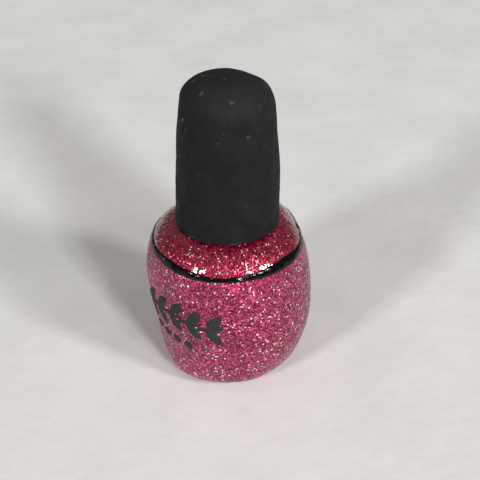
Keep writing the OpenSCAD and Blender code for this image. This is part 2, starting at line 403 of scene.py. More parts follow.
class SharedGroups:
    """Shader groups that more than one finish uses, each built once."""

    def __init__(self) -> None:
        """Builds the groups."""
        self.glitter = self._glitter()
        self.blotches = self._blotches()
        self.specks = self._specks()
        self.grain = self._grain()
        self.band = self._band()

    @staticmethod
    def _new(name: str, inputs: dict[str, tuple[str, object]],
             outputs: dict[str, str]) -> tuple[Desk, bpy.types.Node, bpy.types.Node]:
        """Starts a group.

        Args:
            name: The group's name.
            inputs: For each input its socket type and its first value, or None.
            outputs: For each output its socket type.

        Returns:
            The desk for its nodes, its input node and its output node.
        """
        tree = bpy.data.node_groups.new(name, "ShaderNodeTree")
        for key, (kind, value) in inputs.items():
            socket = tree.interface.new_socket(key, in_out="INPUT", socket_type="NodeSocket" + kind)
            if value is not None:
                socket.default_value = value
        for key, kind in outputs.items():
            tree.interface.new_socket(key, in_out="OUTPUT", socket_type="NodeSocket" + kind)
        return Desk(tree), tree.nodes.new("NodeGroupInput"), tree.nodes.new("NodeGroupOutput")

    def _glitter(self) -> bpy.types.NodeTree:
        """Flakes of glitter, each with its own shade, tilt and shine; a share of them is painted near-white
        as painted glints.

        Returns:
            The group.
        """
        desk, given, out = self._new("glitter_flakes", {
            "Vector": ("Vector", None), "Surface Normal": ("Vector", None),
            "Flakes Per Metre": ("Float", 3200.0),
            "Dark": ("Color", None), "Middle": ("Color", None), "Light": ("Color", None),
            "Sparkle": ("Color", None), "Sparkle Share": ("Float", 0.02), "Tilt": ("Float", 0.3),
        }, {"Color": "Color", "Roughness": "Float", "Metallic": "Float", "Normal": "Vector"})
        g = given.outputs
        flake = desk.add("TexVoronoi", None, Vector=g["Vector"], Scale=g["Flakes Per Metre"])
        parts = desk.add("SeparateColor", None, Color=flake.outputs["Color"])
        shade, chance, kind = parts.outputs[0], parts.outputs[1], parts.outputs[2]
        lower = desk.mix(desk.ramp(shade, 0.05, 0.6), g["Dark"], g["Middle"])
        upper = desk.mix(desk.ramp(shade, 0.5, 1.0), lower, g["Light"])
        # Painted glints: a share of the flakes gets a near-white colour and no metal, standing in for lamp
        # light that the flakes catch.
        painted_glint_mask = desk.math("GREATER_THAN", chance, desk.math("SUBTRACT", 1.0, g["Sparkle Share"]))
        colour = desk.mix(painted_glint_mask, upper, g["Sparkle"])
        lean = desk.vector("SUBTRACT", flake.outputs["Color"], (0.5, 0.5, 0.5))
        tilted = desk.vector("ADD", g["Surface Normal"], desk.vector("SCALE", lean, scale=g["Tilt"]))
        desk.feed(out.inputs["Color"], colour)
        desk.feed(out.inputs["Roughness"], desk.ramp(kind, 0.0, 1.0, 0.2, 0.45))
        dull = desk.math("SUBTRACT", 1.0, painted_glint_mask)
        desk.feed(out.inputs["Metallic"], desk.math("MULTIPLY", desk.ramp(kind, 0.3, 0.7, 0.3, 0.85), dull))
        desk.feed(out.inputs["Normal"], desk.vector("NORMALIZE", tilted))
        return desk.tree

    def _blotches(self) -> bpy.types.NodeTree:
        """A cloudy value between Low and High.

        Returns:
            The group.
        """
        desk, given, out = self._new("blotches", {
            "Vector": ("Vector", None), "Scale": ("Float", 300.0), "Low": ("Float", 0.0),
            "High": ("Float", 1.0)}, {"Value": "Float"})
        g = given.outputs
        cloud = desk.ramp(desk.noise(g["Vector"], g["Scale"], 4.0, 0.55), 0.3, 0.7)
        span = desk.math("SUBTRACT", g["High"], g["Low"])
        desk.feed(out.inputs["Value"], desk.math("ADD", g["Low"], desk.math("MULTIPLY", cloud, span)))
        return desk.tree

    def _specks(self) -> bpy.types.NodeTree:
        """A mask of scattered round specks.

        Returns:
            The group.
        """
        desk, given, out = self._new("specks", {
            "Vector": ("Vector", None), "Scale": ("Float", 600.0), "Share": ("Float", 0.05),
            "Size": ("Float", 0.25)}, {"Mask": "Float"})
        g = given.outputs
        cell = desk.add("TexVoronoi", None, Vector=g["Vector"], Scale=g["Scale"])
        parts = desk.add("SeparateColor", None, Color=cell.outputs["Color"])
        chosen = desk.math("LESS_THAN", parts.outputs[0], g["Share"])
        reach = desk.math("MULTIPLY", g["Size"], desk.math("ADD", parts.outputs[1], 0.4))
        near = desk.math("LESS_THAN", cell.outputs["Distance"], reach)
        desk.feed(out.inputs["Mask"], desk.math("MULTIPLY", chosen, near))
        return desk.tree

    def _grain(self) -> bpy.types.NodeTree:
        """The height of a fine grain on a low swell.

        Returns:
            The group.
        """
        desk, given, out = self._new("grain", {
            "Vector": ("Vector", None), "Fine": ("Float", 4000.0), "Coarse": ("Float", 500.0),
            "Coarse Share": ("Float", 0.5)}, {"Height": "Float"})
        g = given.outputs
        fine = desk.noise(g["Vector"], g["Fine"], 2.0)
        coarse = desk.math("MULTIPLY", desk.noise(g["Vector"], g["Coarse"], 3.0), g["Coarse Share"])
        desk.feed(out.inputs["Height"], desk.math("ADD", fine, coarse))
        return desk.tree

    def _band(self) -> bpy.types.NodeTree:
        """A mask of a level band round the Z axis, with a ragged edge.

        Returns:
            The group.
        """
        desk, given, out = self._new("level_band", {
            "Vector": ("Vector", None), "Middle": ("Float", 0.0), "Half Height": ("Float", 0.001),
            "Ragged": ("Float", 0.001), "Scale": ("Float", 600.0)}, {"Mask": "Float"})
        g = given.outputs
        height = desk.add("SeparateXYZ", None, Vector=g["Vector"]).outputs["Z"]
        cloud = desk.math("SUBTRACT", desk.noise(g["Vector"], g["Scale"], 4.0, 0.6), 0.5)
        away = desk.math("ABSOLUTE", desk.math("SUBTRACT", height, g["Middle"]))
        edge = desk.math("ADD", away, desk.math("MULTIPLY", cloud, g["Ragged"]))
        inside = desk.math("DIVIDE", desk.math("SUBTRACT", g["Half Height"], edge), 0.0001)
        desk.feed(out.inputs["Mask"], desk.ramp(inside, -1.0, 1.0))
        return desk.tree


class Workbench:
    """A material under construction: its nodes, its shader and its object coordinates."""

    def __init__(self, name: str, groups: SharedGroups) -> None:
        """Starts a material.

        Args:
            name: The material's name.
            groups: The shared groups.
        """
        self.material = bpy.data.materials.new(name)
        self.material.use_nodes = True
        self.groups = groups
        tree = self.material.node_tree
        self.desk = Desk(tree)
        self.shader = tree.nodes["Principled BSDF"]
        self.place = self.desk.add("TexCoord").outputs["Object"]

    def set(self, **values: object) -> None:
        """Sets or links the shader's inputs, with _ for a space in their names."""
        for key, value in values.items():
            self.desk.feed(self.shader.inputs[key.replace("_", " ")], value)

    def group(self, tree: bpy.types.NodeTree, **inputs: object) -> bpy.types.Node:
        """Places a shared group that reads the object coordinates.

        Args:
            tree: The group.
            **inputs: A value or a socket for each named input, with _ for a space.

        Returns:
            The group's node.
        """
        node = self.desk.tree.nodes.new("ShaderNodeGroup")
        node.node_tree = tree
        self.desk.feed(node.inputs["Vector"], self.place)
        for key, value in inputs.items():
            value = solid(value) if isinstance(value, tuple) else value
            self.desk.feed(node.inputs[key.replace("_", " ")], value)
        return node

    def blotches(self, scale: float, low: float, high: float) -> bpy.types.NodeSocket:
        """Gives a cloudy value between low and high."""
        return self.group(self.groups.blotches, Scale=scale, Low=low, High=high).outputs["Value"]

    def specks(self, scale: float, share: float, size: float) -> bpy.types.NodeSocket:
        """Gives a mask of specks, which a share of the cells hold, of a size in cells."""
        return self.group(self.groups.specks, Scale=scale, Share=share, Size=size).outputs["Mask"]

    def band(self, middle: float, half_height: float, ragged: float, scale: float) -> bpy.types.NodeSocket:
        """Gives a mask of a level band with a ragged edge.

        Args:
            middle: Height of its middle.
            half_height: Half of its height.
            ragged: How far its edge strays.
            scale: Scale of the straying.

        Returns:
            The mask's socket.
        """
        band = self.group(self.groups.band, Middle=middle, Half_Height=half_height, Ragged=ragged,
                          Scale=scale)
        return band.outputs["Mask"]

    def emboss(self, fine: float, coarse: float, coarse_share: float, depth: float) -> None:
        """Raises a fine grain on a low swell over the surface.

        Args:
            fine: Scale of the grain.
            coarse: Scale of the swell.
            coarse_share: Height of the swell, next to the grain's.
            depth: Metres that a height of 1 stands for.
        """
        grain = self.group(self.groups.grain, Fine=fine, Coarse=coarse, Coarse_Share=coarse_share)
        relief = self.desk.add("Bump", None, Height=grain.outputs["Height"], Distance=depth, Strength=1.0)
        self.set(Normal=relief.outputs["Normal"])


# ---------------------------------------------------------------------------------------------------
# Finishes


@dataclass(frozen=True)
class Finish:
    """A finish, which dresses a material in its own way."""

    name: str

    def material(self, groups: SharedGroups) -> bpy.types.Material:
        """Builds the finish.

        Args:
            groups: The shared groups.

        Returns:
            The material.
        """
        work = Workbench(self.name, groups)
        self.dress(work)
        return work.material

    def dress(self, work: Workbench) -> None:
        """Sets up the material's shader."""
        raise NotImplementedError


@dataclass(frozen=True)
class GlitterFinish(Finish):
    """Glitter under a clear varnish, or in a lacquer."""

    dark: Colour
    middle: Colour
    light: Colour
    # Colour and share of the painted glints: near-white flakes that stand in for lamp light caught by the
    # glitter.
    painted_glint: Colour = (1.0, 0.86, 0.9)
    flakes_per_metre: float = 3200.0
    painted_glint_share: float = 0.03
    tilt: float = 0.7
    coat_weight: float = 1.0
    coat_roughness: float = 0.06

    def dress(self, work: Workbench) -> None:
        """Scatters flakes, darker in clouds, under the varnish, with a share painted near-white as painted
        glints.

        Args:
            work: The material under construction.
        """
        surface = work.desk.add("NewGeometry").outputs["Normal"]
        flakes = work.group(
            work.groups.glitter, Surface_Normal=surface, Flakes_Per_Metre=self.flakes_per_metre,
            Dark=self.dark, Middle=self.middle, Light=self.light, Sparkle=self.painted_glint,
            Sparkle_Share=self.painted_glint_share, Tilt=self.tilt)
        colour = work.desk.mix(work.blotches(220.0, 0.0, 0.35), flakes.outputs["Color"], self.dark)
        work.set(Base_Color=colour, Roughness=flakes.outputs["Roughness"],
                 Metallic=flakes.outputs["Metallic"], Normal=flakes.outputs["Normal"],
                 Coat_Weight=self.coat_weight, Coat_Roughness=self.coat_roughness, Coat_IOR=1.5)


@dataclass(frozen=True)
class PaintFinish(Finish):
    """Brushed paint, glossy or matte, with some dust."""

    colour: Colour
    pale: Colour
    roughness: tuple[float, float]
    specular: float
    # Colour of the specks of dust on the paint.
    dust_and_sheen: Colour = (0.2, 0.2, 0.19)
    relief: float = 0.02 * MM

    def dress(self, work: Workbench) -> None:
        """Clouds the paint, dusts it and lays brush marks in it.

        Args:
            work: The material under construction.
        """
        colour = work.desk.mix(work.blotches(700.0, 0.0, 0.6), self.colour, self.pale)
        work.set(Base_Color=work.desk.mix(work.specks(1500.0, 0.03, 0.22), colour, self.dust_and_sheen),
                 Roughness=work.blotches(450.0, *self.roughness), Specular_IOR_Level=self.specular)
        work.emboss(3500.0, 900.0, 1.2, self.relief)


@dataclass(frozen=True)
class CapFinish(Finish):
    """Matte near-black of the outer cap, hand-finished, with scuffs, smears, stray specks and a painted sheen
    on its crown.
    """

    rim_z: float
    crown_z: float
    colour: Colour = (0.0062, 0.0072, 0.007)
    pale: Colour = (0.0115, 0.0125, 0.0122)
    # The painted sheen's colour: a lighter tone for the crown's top that stands in for light falling on it.
    dust_and_sheen: Colour = (0.017, 0.0185, 0.018)
    scuff: Colour = (0.035, 0.037, 0.036)
    smear: Colour = (0.075, 0.078, 0.078)
    speck: Colour = (0.8, 0.8, 0.78)
    # Depth below the crown over which the painted sheen fades in.
    sheen_depth: float = 6.5 * MM
    smeared_depth: float = 14 * MM

    def dress(self, work: Workbench) -> None:
        """Clouds the black, paints a lighter sheen onto the top of the crown and wears the rim.

        Args:
            work: The material under construction.
        """
        desk = work.desk
        clouds = desk.mix(work.blotches(260.0, 0.0, 0.8), self.colour, self.pale)
        colour = desk.mix(work.blotches(1400.0, 0.0, 0.5), clouds, self.colour)
        height = desk.add("SeparateXYZ", None, Vector=work.place).outputs["Z"]
        # Painted sheen: the crown's top is painted lighter towards its highest point, standing in for light
        # falling on it.
        crown_sheen_mask = desk.ramp(height, self.crown_z - self.sheen_depth, self.crown_z - 0.5 * MM, 0.0, 0.9)
        colour = desk.mix(crown_sheen_mask, colour, self.dust_and_sheen)
        upper = desk.ramp(height, self.crown_z - self.smeared_depth, self.crown_z - 6 * MM, 0.15, 1.0)
        smears = desk.ramp(desk.noise(work.place, 430.0, 5.0, 0.62), 0.625, 0.71)
        colour = desk.mix(desk.math("MULTIPLY", smears, upper), colour, self.smear)
        rim = work.band(self.rim_z, 0.35 * MM, 1.2 * MM, 500.0)
        worn = desk.math("MULTIPLY", rim, desk.math("MAXIMUM", work.blotches(260.0, -0.9, 0.9), 0.0))
        colour = desk.mix(worn, colour, self.scuff)
        work.set(Base_Color=desk.mix(work.specks(420.0, 0.03, 0.06), colour, self.speck),
                 Roughness=work.blotches(320.0, 0.6, 0.8), Specular_IOR_Level=0.13)
        work.emboss(5200.0, 620.0, 1.6, 0.09 * MM)


@dataclass(frozen=True)
class MouldedFinish(Finish):
    """Moulded plastic, with lacquer on it below a level."""

    colour: Colour
    roughness: float
    grain_relief: float = 0.006 * MM
    wet_below: float = -1.0
    wet: Colour = (0.3, 0.012, 0.05)
    wet_flake: Colour = (0.6, 0.11, 0.22)

    def dress(self, work: Workbench) -> None:
        """Grains the plastic and films it with lacquer where it has been dipped.

        Args:
            work: The material under construction.
        """
        desk = work.desk
        tone = desk.mix(1.0, self.colour, work.blotches(380.0, 0.7, 1.25), "MULTIPLY")
        rough = work.blotches(500.0, self.roughness - 0.07, self.roughness + 0.08)
        if self.wet_below > 0:
            film = work.band(0.0, self.wet_below, 6 * MM, 380.0)
            lacquer = desk.mix(work.specks(5600.0, 0.32, 0.4), self.wet, self.wet_flake)
            tone = desk.mix(film, tone, lacquer)
            rough = desk.math("MULTIPLY", rough, desk.ramp(film, 0.0, 1.0, 1.0, 0.4))
        work.set(Base_Color=tone, Roughness=rough)
        work.emboss(6000.0, 900.0, 0.6, self.grain_relief)


@dataclass(frozen=True)
class GlassFinish(Finish):
    """Clear glass with streaks of lacquer left round the mouth."""

    lip_z: float
    tint: Colour = (0.95, 0.985, 0.975)
    haze: Colour = (0.85, 0.93, 0.9)
    streak: Colour = (0.75, 0.12, 0.25)

    def dress(self, work: Workbench) -> None:
        """Hazes the glass a little and streaks its lip.

        Args:
            work: The material under construction.
        """
        hazed = work.desk.mix(work.blotches(300.0, 0.0, 0.12), self.tint, self.haze)
        lip = work.band(self.lip_z, 0.7 * MM, 5 * MM, 420.0)
        work.set(Base_Color=work.desk.mix(lip, hazed, self.streak),
                 Roughness=work.blotches(900.0, 0.01, 0.07), IOR=1.5, Transmission_Weight=1.0)
        work.emboss(700.0, 150.0, 1.0, 0.03 * MM)


@dataclass(frozen=True)
class PaperFinish(Finish):
    """Coated paper of the sticker, or a sheet to stand on."""

    colour: Colour
    shade: Colour
    fibre_scale: float
    roughness: float
    relief: float

    def dress(self, work: Workbench) -> None:
        """Mottles the paper and raises its fibres.

        Args:
            work: The material under construction.
        """
        rough = work.blotches(2 * self.fibre_scale, self.roughness - 0.05, self.roughness + 0.05)
        work.set(Base_Color=work.desk.mix(work.blotches(self.fibre_scale, 0.0, 1.0), self.colour, self.shade),
                 Roughness=rough, Specular_IOR_Level=0.12)
        work.emboss(6 * self.fibre_scale, self.fibre_scale, 0.6, self.relief)


@dataclass(frozen=True)
class MetalFinish(Finish):
    """Steel of the mixing balls and the anchor, filmed with lacquer in places."""

    colour: Colour
    roughness: tuple[float, float]
    film: float
    relief: float
    lacquer: Colour = (0.5, 0.04, 0.13)

    def dress(self, work: Workbench) -> None:
        """Films the metal and scratches it finely.

        Args:
            work: The material under construction.
        """
        work.set(Base_Color=work.desk.mix(work.blotches(600.0, 0.0, self.film), self.colour, self.lacquer),
                 Metallic=1.0, Roughness=work.blotches(1500.0, *self.roughness))
        work.emboss(9000.0, 1200.0, 0.4, self.relief)


@dataclass(frozen=True)
class FoamFinish(Finish):
    """Soft white liner, stained where it meets the lip."""

    lip_r: float
    colour: Colour = (0.78, 0.77, 0.74)
    stain: Colour = (0.62, 0.2, 0.3)

    def dress(self, work: Workbench) -> None:
        """Stains a patchy ring on the foam.

        Args:
            work: The material under construction.
        """
        desk = work.desk
        axes = desk.add("SeparateXYZ", None, Vector=work.place).outputs
        squares = [desk.math("MULTIPLY", axes[name], axes[name]) for name in ("X", "Y")]
        across = desk.math("SQRT", desk.math("ADD", *squares))
        away = desk.math("ABSOLUTE", desk.math("SUBTRACT", across, self.lip_r))
        ring = desk.math("MULTIPLY", desk.ramp(away, 1.2 * MM, 0.3 * MM), work.blotches(500.0, 0.2, 0.9))
        work.set(Base_Color=desk.mix(ring, self.colour, self.stain),
                 Roughness=work.blotches(800.0, 0.55, 0.75))
        work.emboss(7000.0, 1500.0, 0.5, 0.02 * MM)


# ---------------------------------------------------------------------------------------------------
# The bottle


@dataclass(frozen=True)
class BottleForm:
    """Outline of the bottle: heel, side and shoulder arcs that run into each other, and its neck."""

    glass_r: float = field(default_factory=lambda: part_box("glass_bottle")[1].x)
    coat_t: float = field(
        default_factory=lambda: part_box("glitter_coat")[1].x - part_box("glass_bottle")[1].x)
    coated_top_z: float = field(default_factory=lambda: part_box("shoulder_glaze")[1].z)
    lip_z: float = field(default_factory=lambda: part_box("glass_bottle")[1].z)
    belly_z: float = 19.6 * MM
    side_bow_r: float = 58 * MM
    heel_r: float = 5.8 * MM
    shoulder_r: float = 7.8 * MM
    wall: float = 2.5 * MM
    floor_rise: float = 1.4 * MM
    foot_ring_w: float = 1.3 * MM
    base_hollow_h: float = 0.6 * MM
    neck_r: float = 5.75 * MM
    neck_fillet_r: float = 1 * MM
    thread_h: float = 0.78 * MM
    thread_pitch: float = 2.117 * MM
    thread_turns: float = 1.6
    thread_lead_in: float = 1.9 * MM
    mouth_r: float = 3.7 * MM
    lip_edge: float = 0.4 * MM
    line_drop: float = 4.3 * MM
    line_w: float = 1.4 * MM

    @property
    def shoulder_z(self) -> float:
        """Height of the flat round the neck."""
        return self.coated_top_z - self.coat_t

    @property
    def thread_z(self) -> float:
        """Height at which the neck's thread starts."""
        return self.lip_z - self.thread_lead_in - self.thread_pitch * self.thread_turns

    @property
    def side_x(self) -> float:
        """Radius at which the centre of the side's long swell lies."""
        return self.glass_r - self.side_bow_r

    @property
    def heel_x(self) -> float:
        """Radius at which the heel's centre lies."""
        reach = self.side_bow_r - self.heel_r
        return self.side_x + math.sqrt(reach ** 2 - (self.belly_z - self.heel_r) ** 2)

    @property
    def round_z(self) -> float:
        """Height of the shoulder's centre."""
        return self.shoulder_z - self.shoulder_r

    @property
    def round_x(self) -> float:
        """Radius at which the shoulder's centre lies."""
        reach = self.side_bow_r - self.shoulder_r
        return self.side_x + math.sqrt(reach ** 2 - (self.round_z - self.belly_z) ** 2)

    @property
    def low_a(self) -> float:
        """Angle at which the heel hands over to the side."""
        return math.atan2(self.heel_r - self.belly_z, self.heel_x - self.side_x)

    @property
    def high_a(self) -> float:
        """Angle at which the side hands over to the shoulder."""
        return math.atan2(self.round_z - self.belly_z, self.round_x - self.side_x)

    @property
    def line_a(self) -> float:
        """Angle on the shoulder of the painted line's middle."""
        return math.asin((self.shoulder_r - self.line_drop) / (self.shoulder_r + self.coat_t))

    def heel(self, off: float, steps: int, start: float = -math.pi / 2) -> list[Point2]:
        """Gives the heel's points, moved outwards by off, from an angle to the side."""
        return arc(self.heel_x, self.heel_r, self.heel_r + off, start, self.low_a, steps)

    def side(self, off: float, steps: int) -> list[Point2]:
        """Gives the side's points, moved outwards by off."""
        return arc(self.side_x, self.belly_z, self.side_bow_r + off, self.low_a, self.high_a, steps)

    def shoulder(self, off: float, start: float, end: float, steps: int) -> list[Point2]:
        """Gives the shoulder's points between two angles, moved outwards by off."""
        return arc(self.round_x, self.round_z, self.shoulder_r + off, start, end, steps)

    def on_shoulder(self, angle: float, off: float) -> Point2:
        """Gives the shoulder's point at an angle, moved outwards by off."""
        reach = self.shoulder_r + off
        return self.round_x + reach * math.cos(angle), self.round_z + reach * math.sin(angle)

    def side_radius(self, z: float, off: float) -> float:
        """Gives the side's radius at a height, moved outwards by off."""
        return self.side_x + math.sqrt((self.side_bow_r + off) ** 2 - (z - self.belly_z) ** 2)


@dataclass(frozen=True)
class Dent:
    """A place where a hand-made surface stands out or falls in."""

    azimuth_deg: float
    r: float
    z: float
    reach: float
    depth: float

    def at(self, p: Vector) -> float:
        """Gives how far it moves a point outwards, negative inwards."""
        middle = at(self.r, math.radians(self.azimuth_deg), self.z)
        return self.depth * bump((p - middle).length, 0.0, self.reach)


@dataclass(frozen=True)
class HandShape:
    """How the hand-made outside strays from a true turned shape, glass and coats alike."""

    form: BottleForm
    lean: float = 0.5 * MM
    lean_z: float = 12 * MM
    lean_reach: float = 7 * MM
    swell: float = 0.16 * MM
    swell_length: float = 13 * MM
    ripple_length: float = 6 * MM
    true_r: float = 7.5 * MM
    free_r: float = 11 * MM
    dents: tuple[Dent, ...] = (
        Dent(180, 16.5 * MM, 26 * MM, 5.5 * MM, 0.6 * MM), Dent(10, 14 * MM, 32 * MM, 6.5 * MM, -1.1 * MM),
        Dent(230, 12.5 * MM, 1 * MM, 5.5 * MM, 0.85 * MM), Dent(320, 12.5 * MM, 1 * MM, 5 * MM, -0.4 * MM),
        Dent(345, 17 * MM, 12 * MM, 7 * MM, 0.25 * MM), Dent(80, 17 * MM, 20 * MM, 9 * MM, 0.35 * MM),
        Dent(125, 16 * MM, 9 * MM, 8 * MM, -0.4 * MM),
    )

    def moved(self, p: Vector) -> Vector:
        """Gives the place of a point of the outside.

        Args:
            p: The point on the true shape.

        Returns:
            The point on the real one. The foot and the neck stay as they are.
        """
        r, azimuth = polar(p)
        if r < self.form.neck_r + self.form.neck_fillet_r:
            return p
        freedom = smoothstep(self.true_r, self.free_r, r)
        lean = self.lean * bump(p.z, self.lean_z, self.lean_reach)
        out = self.swell * (ripple(p, self.swell_length, 3.1) + 0.5 * ripple(p, self.ripple_length, 8.3))
        out += sum(dent.at(p) for dent in self.dents)
        return p + freedom * (Vector((lean, 0, 0)) + at(out, azimuth, 0))


@dataclass(frozen=True)
class Swerve:
    """A stretch round the bottle where a brushed line is wider, narrower, higher or lower."""

    azimuth_deg: float
    reach_deg: float
    amount: float

    def at(self, turn_deg: float) -> float:
        """Gives its part in the line at an azimuth."""
        return self.amount * bump(turn_deg, self.azimuth_deg, self.reach_deg)


def thread_height(p: Vector, start_z: float, pitch: float, turns: float, height: float) -> float:
    """Gives how far a thread ridge stands over its wall.

    Args:
        p: A point on the wall.
        start_z: Height of the ridge's middle where it starts, at azimuth 0.
        pitch: Rise in one turn.
        turns: Turns that the ridge makes.
        height: Full height of the ridge.

    Returns:
        The ridge's height at the point, 0 away from it.
    """
    run_out, crest, root = 0.12, 0.12, 0.38
    turn = (polar(p)[1] % math.tau) / math.tau
    along = turn + round((p.z - start_z) / pitch - turn)
    if not 0 <= along <= turns:
        return 0.0
    away = abs(p.z - start_z - pitch * along) / pitch
    grown = min(1.0, along / run_out, (turns - along) / run_out)
    return height * grown * (1 - smoothstep(crest, root, away))


@dataclass(frozen=True)
class Bottle:
    """The glass, its coats, its paint, the sticker under its base and the polish in it."""

    form: BottleForm
    hand: HandShape
    groups: SharedGroups
    columns: int = 480
    glass_columns: int = 240
    coat_start_a: float = math.radians(-64.5)
    pitting: float = 0.035 * MM
    glaze_lumps: float = 0.084 * MM
    line_t: float = 0.17 * MM
    sunk: float = 0.12 * MM
    line_widths: tuple[Swerve, ...] = (Swerve(316, 22, 0.5), Swerve(222, 18, 0.3), Swerve(266, 18, -0.35))
    line_drifts: tuple[Swerve, ...] = (Swerve(314, 22, 0.65), Swerve(256, 20, -0.3))
    brush_room: float = 0.3 * MM
    climb: float = 0.5 * MM
    polish_gap: float = 0.02 * MM

    def build(self) -> None:
        """Builds every piece that stays with the bottle."""
        self._glass()
        self._coats()
        self._line()
        self._sprig()
        self._label()
        self._polish()

    def _inside(self, steps: int) -> list[Point2]:
        """Gives the inside's outline, from the middle of the floor to the ceiling's edge.

        Args:
            steps: Stretches on each arc.

        Returns:
            The outline's points.
        """
        f = self.form
        floor = [(f.heel_x * i / 12, f.wall + f.floor_rise * (1 + math.cos(math.pi * i / 12)) / 2)
                 for i in range(12)]
        return (floor + f.heel(-f.wall, steps) + f.side(-f.wall, steps)[1:]
                + f.shoulder(-f.wall, f.high_a, math.pi / 2, steps)[1:])

    def _glass(self) -> None:
        """Builds the glass, with its thread."""
        f = self.form
        foot_r = f.heel_x - f.foot_ring_w
        ceiling_z = f.shoulder_z - f.wall
        outer = [(foot_r, 0.0), *f.heel(0, 14), *f.side(0, 30)[1:],
                 *f.shoulder(0, f.high_a, math.pi / 2, 18)[1:]]
        fillet = arc(f.neck_r + f.neck_fillet_r, f.shoulder_z + f.neck_fillet_r, f.neck_fillet_r,
                     -math.pi / 2, -math.pi, 6)
        lip = arc(f.neck_r - f.lip_edge, f.lip_z - f.lip_edge, f.lip_edge, 0, math.pi / 2, 5)
        mouth = arc(f.mouth_r + f.lip_edge, f.lip_z - f.lip_edge, f.lip_edge, math.pi / 2, math.pi, 5)
        throat = arc(f.mouth_r + f.neck_fillet_r, ceiling_z + f.neck_fillet_r, f.neck_fillet_r,
                     -math.pi, -math.pi / 2, 6)
        hollow = [(foot_r, f.base_hollow_h), (0.0, f.base_hollow_h)]
        profile = (hollow[::-1] + outer + fillet + spread(fillet[-1], lip[0], 76) + lip[1:] + mouth
                   + spread(mouth[-1], throat[0], 10) + throat[1:] + self._inside(12)[::-1])
        bm = lathe(profile, self.glass_columns)

        def shaped(p: Vector) -> Vector:
            """Raises the thread on the neck and strays as the hand-made outside does.

            Args:
                p: A point on the true shape.

            Returns:
                Its place on the real one.
            """
            r, azimuth = polar(p)
            if abs(r - f.neck_r) < 1e-5:
                rise = thread_height(p, f.thread_z, f.thread_pitch, f.thread_turns, f.thread_h)
                return at(r + rise, azimuth, p.z)
            return self.hand.moved(p) if self._is_outside(r, p.z) else p

        reshape(bm, shaped)
        Piece("bottle_glass", Body.BOTTLE, Slot.GLASS, "glass_bottle").place(
            bm, GlassFinish("bottle_glass", f.lip_z).material(self.groups))

    def _is_outside(self, r: float, z: float) -> bool:
        """Tells the glass's outside from its inside, by half the wall's thickness.

        Args:
            r: Radius of a point of the glass.
            z: Its height.

        Returns:
            True on the outside.
        """
        f = self.form
        mid = f.wall / 2
        if z > f.round_z:
            return math.hypot(r - f.round_x, z - f.round_z) > f.shoulder_r - mid and (
                r > f.round_x or z > f.shoulder_z - mid)
        if z < f.heel_r:
            return math.hypot(r - f.heel_x, z - f.heel_r) > f.heel_r - mid and r > f.heel_x
        return math.hypot(r - f.side_x, z - f.belly_z) > f.side_bow_r - mid

    def _coat_move(self, wavelength: float, depth: float, seed: float) -> Move:
        """Gives a coat's rule: it strays with the glass, and its outside is unevenly thick.

        Args:
            wavelength: Size of the unevenness.
            depth: Its depth.
            seed: Its place in the noise.

        Returns:
            The rule.
        """
        f = self.form

        def moved(p: Vector) -> Vector:
            """Moves one point of the coat.

            Args:
                p: A point on the true shape.

            Returns:
                Its place on the real one.
            """
            r, azimuth = polar(p)
            away = self._depth_over_glass(r, p.z)
            uneven = 0.0
            if away > 0.6 * f.coat_t:
                uneven = depth * (ripple(p, wavelength, seed) + 0.6 * ripple(p, wavelength / 2.1, seed + 5))
            return self.hand.moved(p + uneven * self._outward(r, azimuth, p.z))

        return moved

    def _depth_over_glass(self, r: float, z: float) -> float:
        """Gives how far a point of a coat lies outside the glass's true outline.

        Args:
            r: Radius of the point.
            z: Its height.

        Returns:
            The distance, negative in the glass.
        """
        f = self.form
        if z > f.round_z:
            if r < f.round_x:
                return z - f.shoulder_z
            return math.hypot(r - f.round_x, z - f.round_z) - f.shoulder_r
        if z < f.heel_r:
            return math.hypot(r - f.heel_x, z - f.heel_r) - f.heel_r
        return math.hypot(r - f.side_x, z - f.belly_z) - f.side_bow_r

    def _outward(self, r: float, azimuth: float, z: float) -> Vector:
        """Gives the outward direction of the outline at a point.

        Args:
            r: Radius of the point.
            azimuth: Its azimuth.
            z: Its height.

        Returns:
            The direction, with a length of 1.
        """
        f = self.form
        if z > f.round_z:
            slope = math.atan2(z - f.round_z, max(0.0, r - f.round_x))
        elif z < f.heel_r:
            slope = math.atan2(z - f.heel_r, max(0.0, r - f.heel_x))
        else:
            slope = math.atan2(z - f.belly_z, r - f.side_x)
        return at(math.cos(slope), azimuth, math.sin(slope))

    def _coats(self) -> None:
        """Builds the pink coat of the side and the crimson glaze of the shoulder."""
        f = self.form
        foot_a = self.coat_start_a

        def skin(off: float, density: float) -> list[Point2]:
            """Gives one face of the pink coat."""
            return (f.heel(off, round(26 * density), foot_a) + f.side(off, round(84 * density))[1:]
                    + f.shoulder(off, f.high_a, f.line_a, round(14 * density))[1:])

        bm = lathe(skin(f.coat_t, 1.0) + skin(0.0, 0.2)[::-1], self.columns, closed=True)
        reshape(bm, self._coat_move(1.7 * MM, self.pitting, 1.3))
        pink = GlitterFinish(
            "pink_glitter_coat", dark=(0.095, 0.001, 0.015), middle=(0.27, 0.007, 0.045),
            light=(0.78, 0.12, 0.28), flakes_per_metre=3500.0, painted_glint_share=0.025, coat_weight=0.2,
            coat_roughness=0.2)
        Piece("pink_glitter_skin", Body.BOTTLE, Slot.PINK, "glitter_coat").place(
            bm, pink.material(self.groups))

        flat_r = f.neck_r + f.neck_fillet_r

        def cape(off: float, steps: int) -> list[Point2]:
            """Gives one face of the crimson glaze."""
            edge = f.shoulder(off, f.line_a, math.pi / 2, steps)
            return edge + spread(edge[-1], (flat_r, f.shoulder_z + off), max(2, steps // 5))

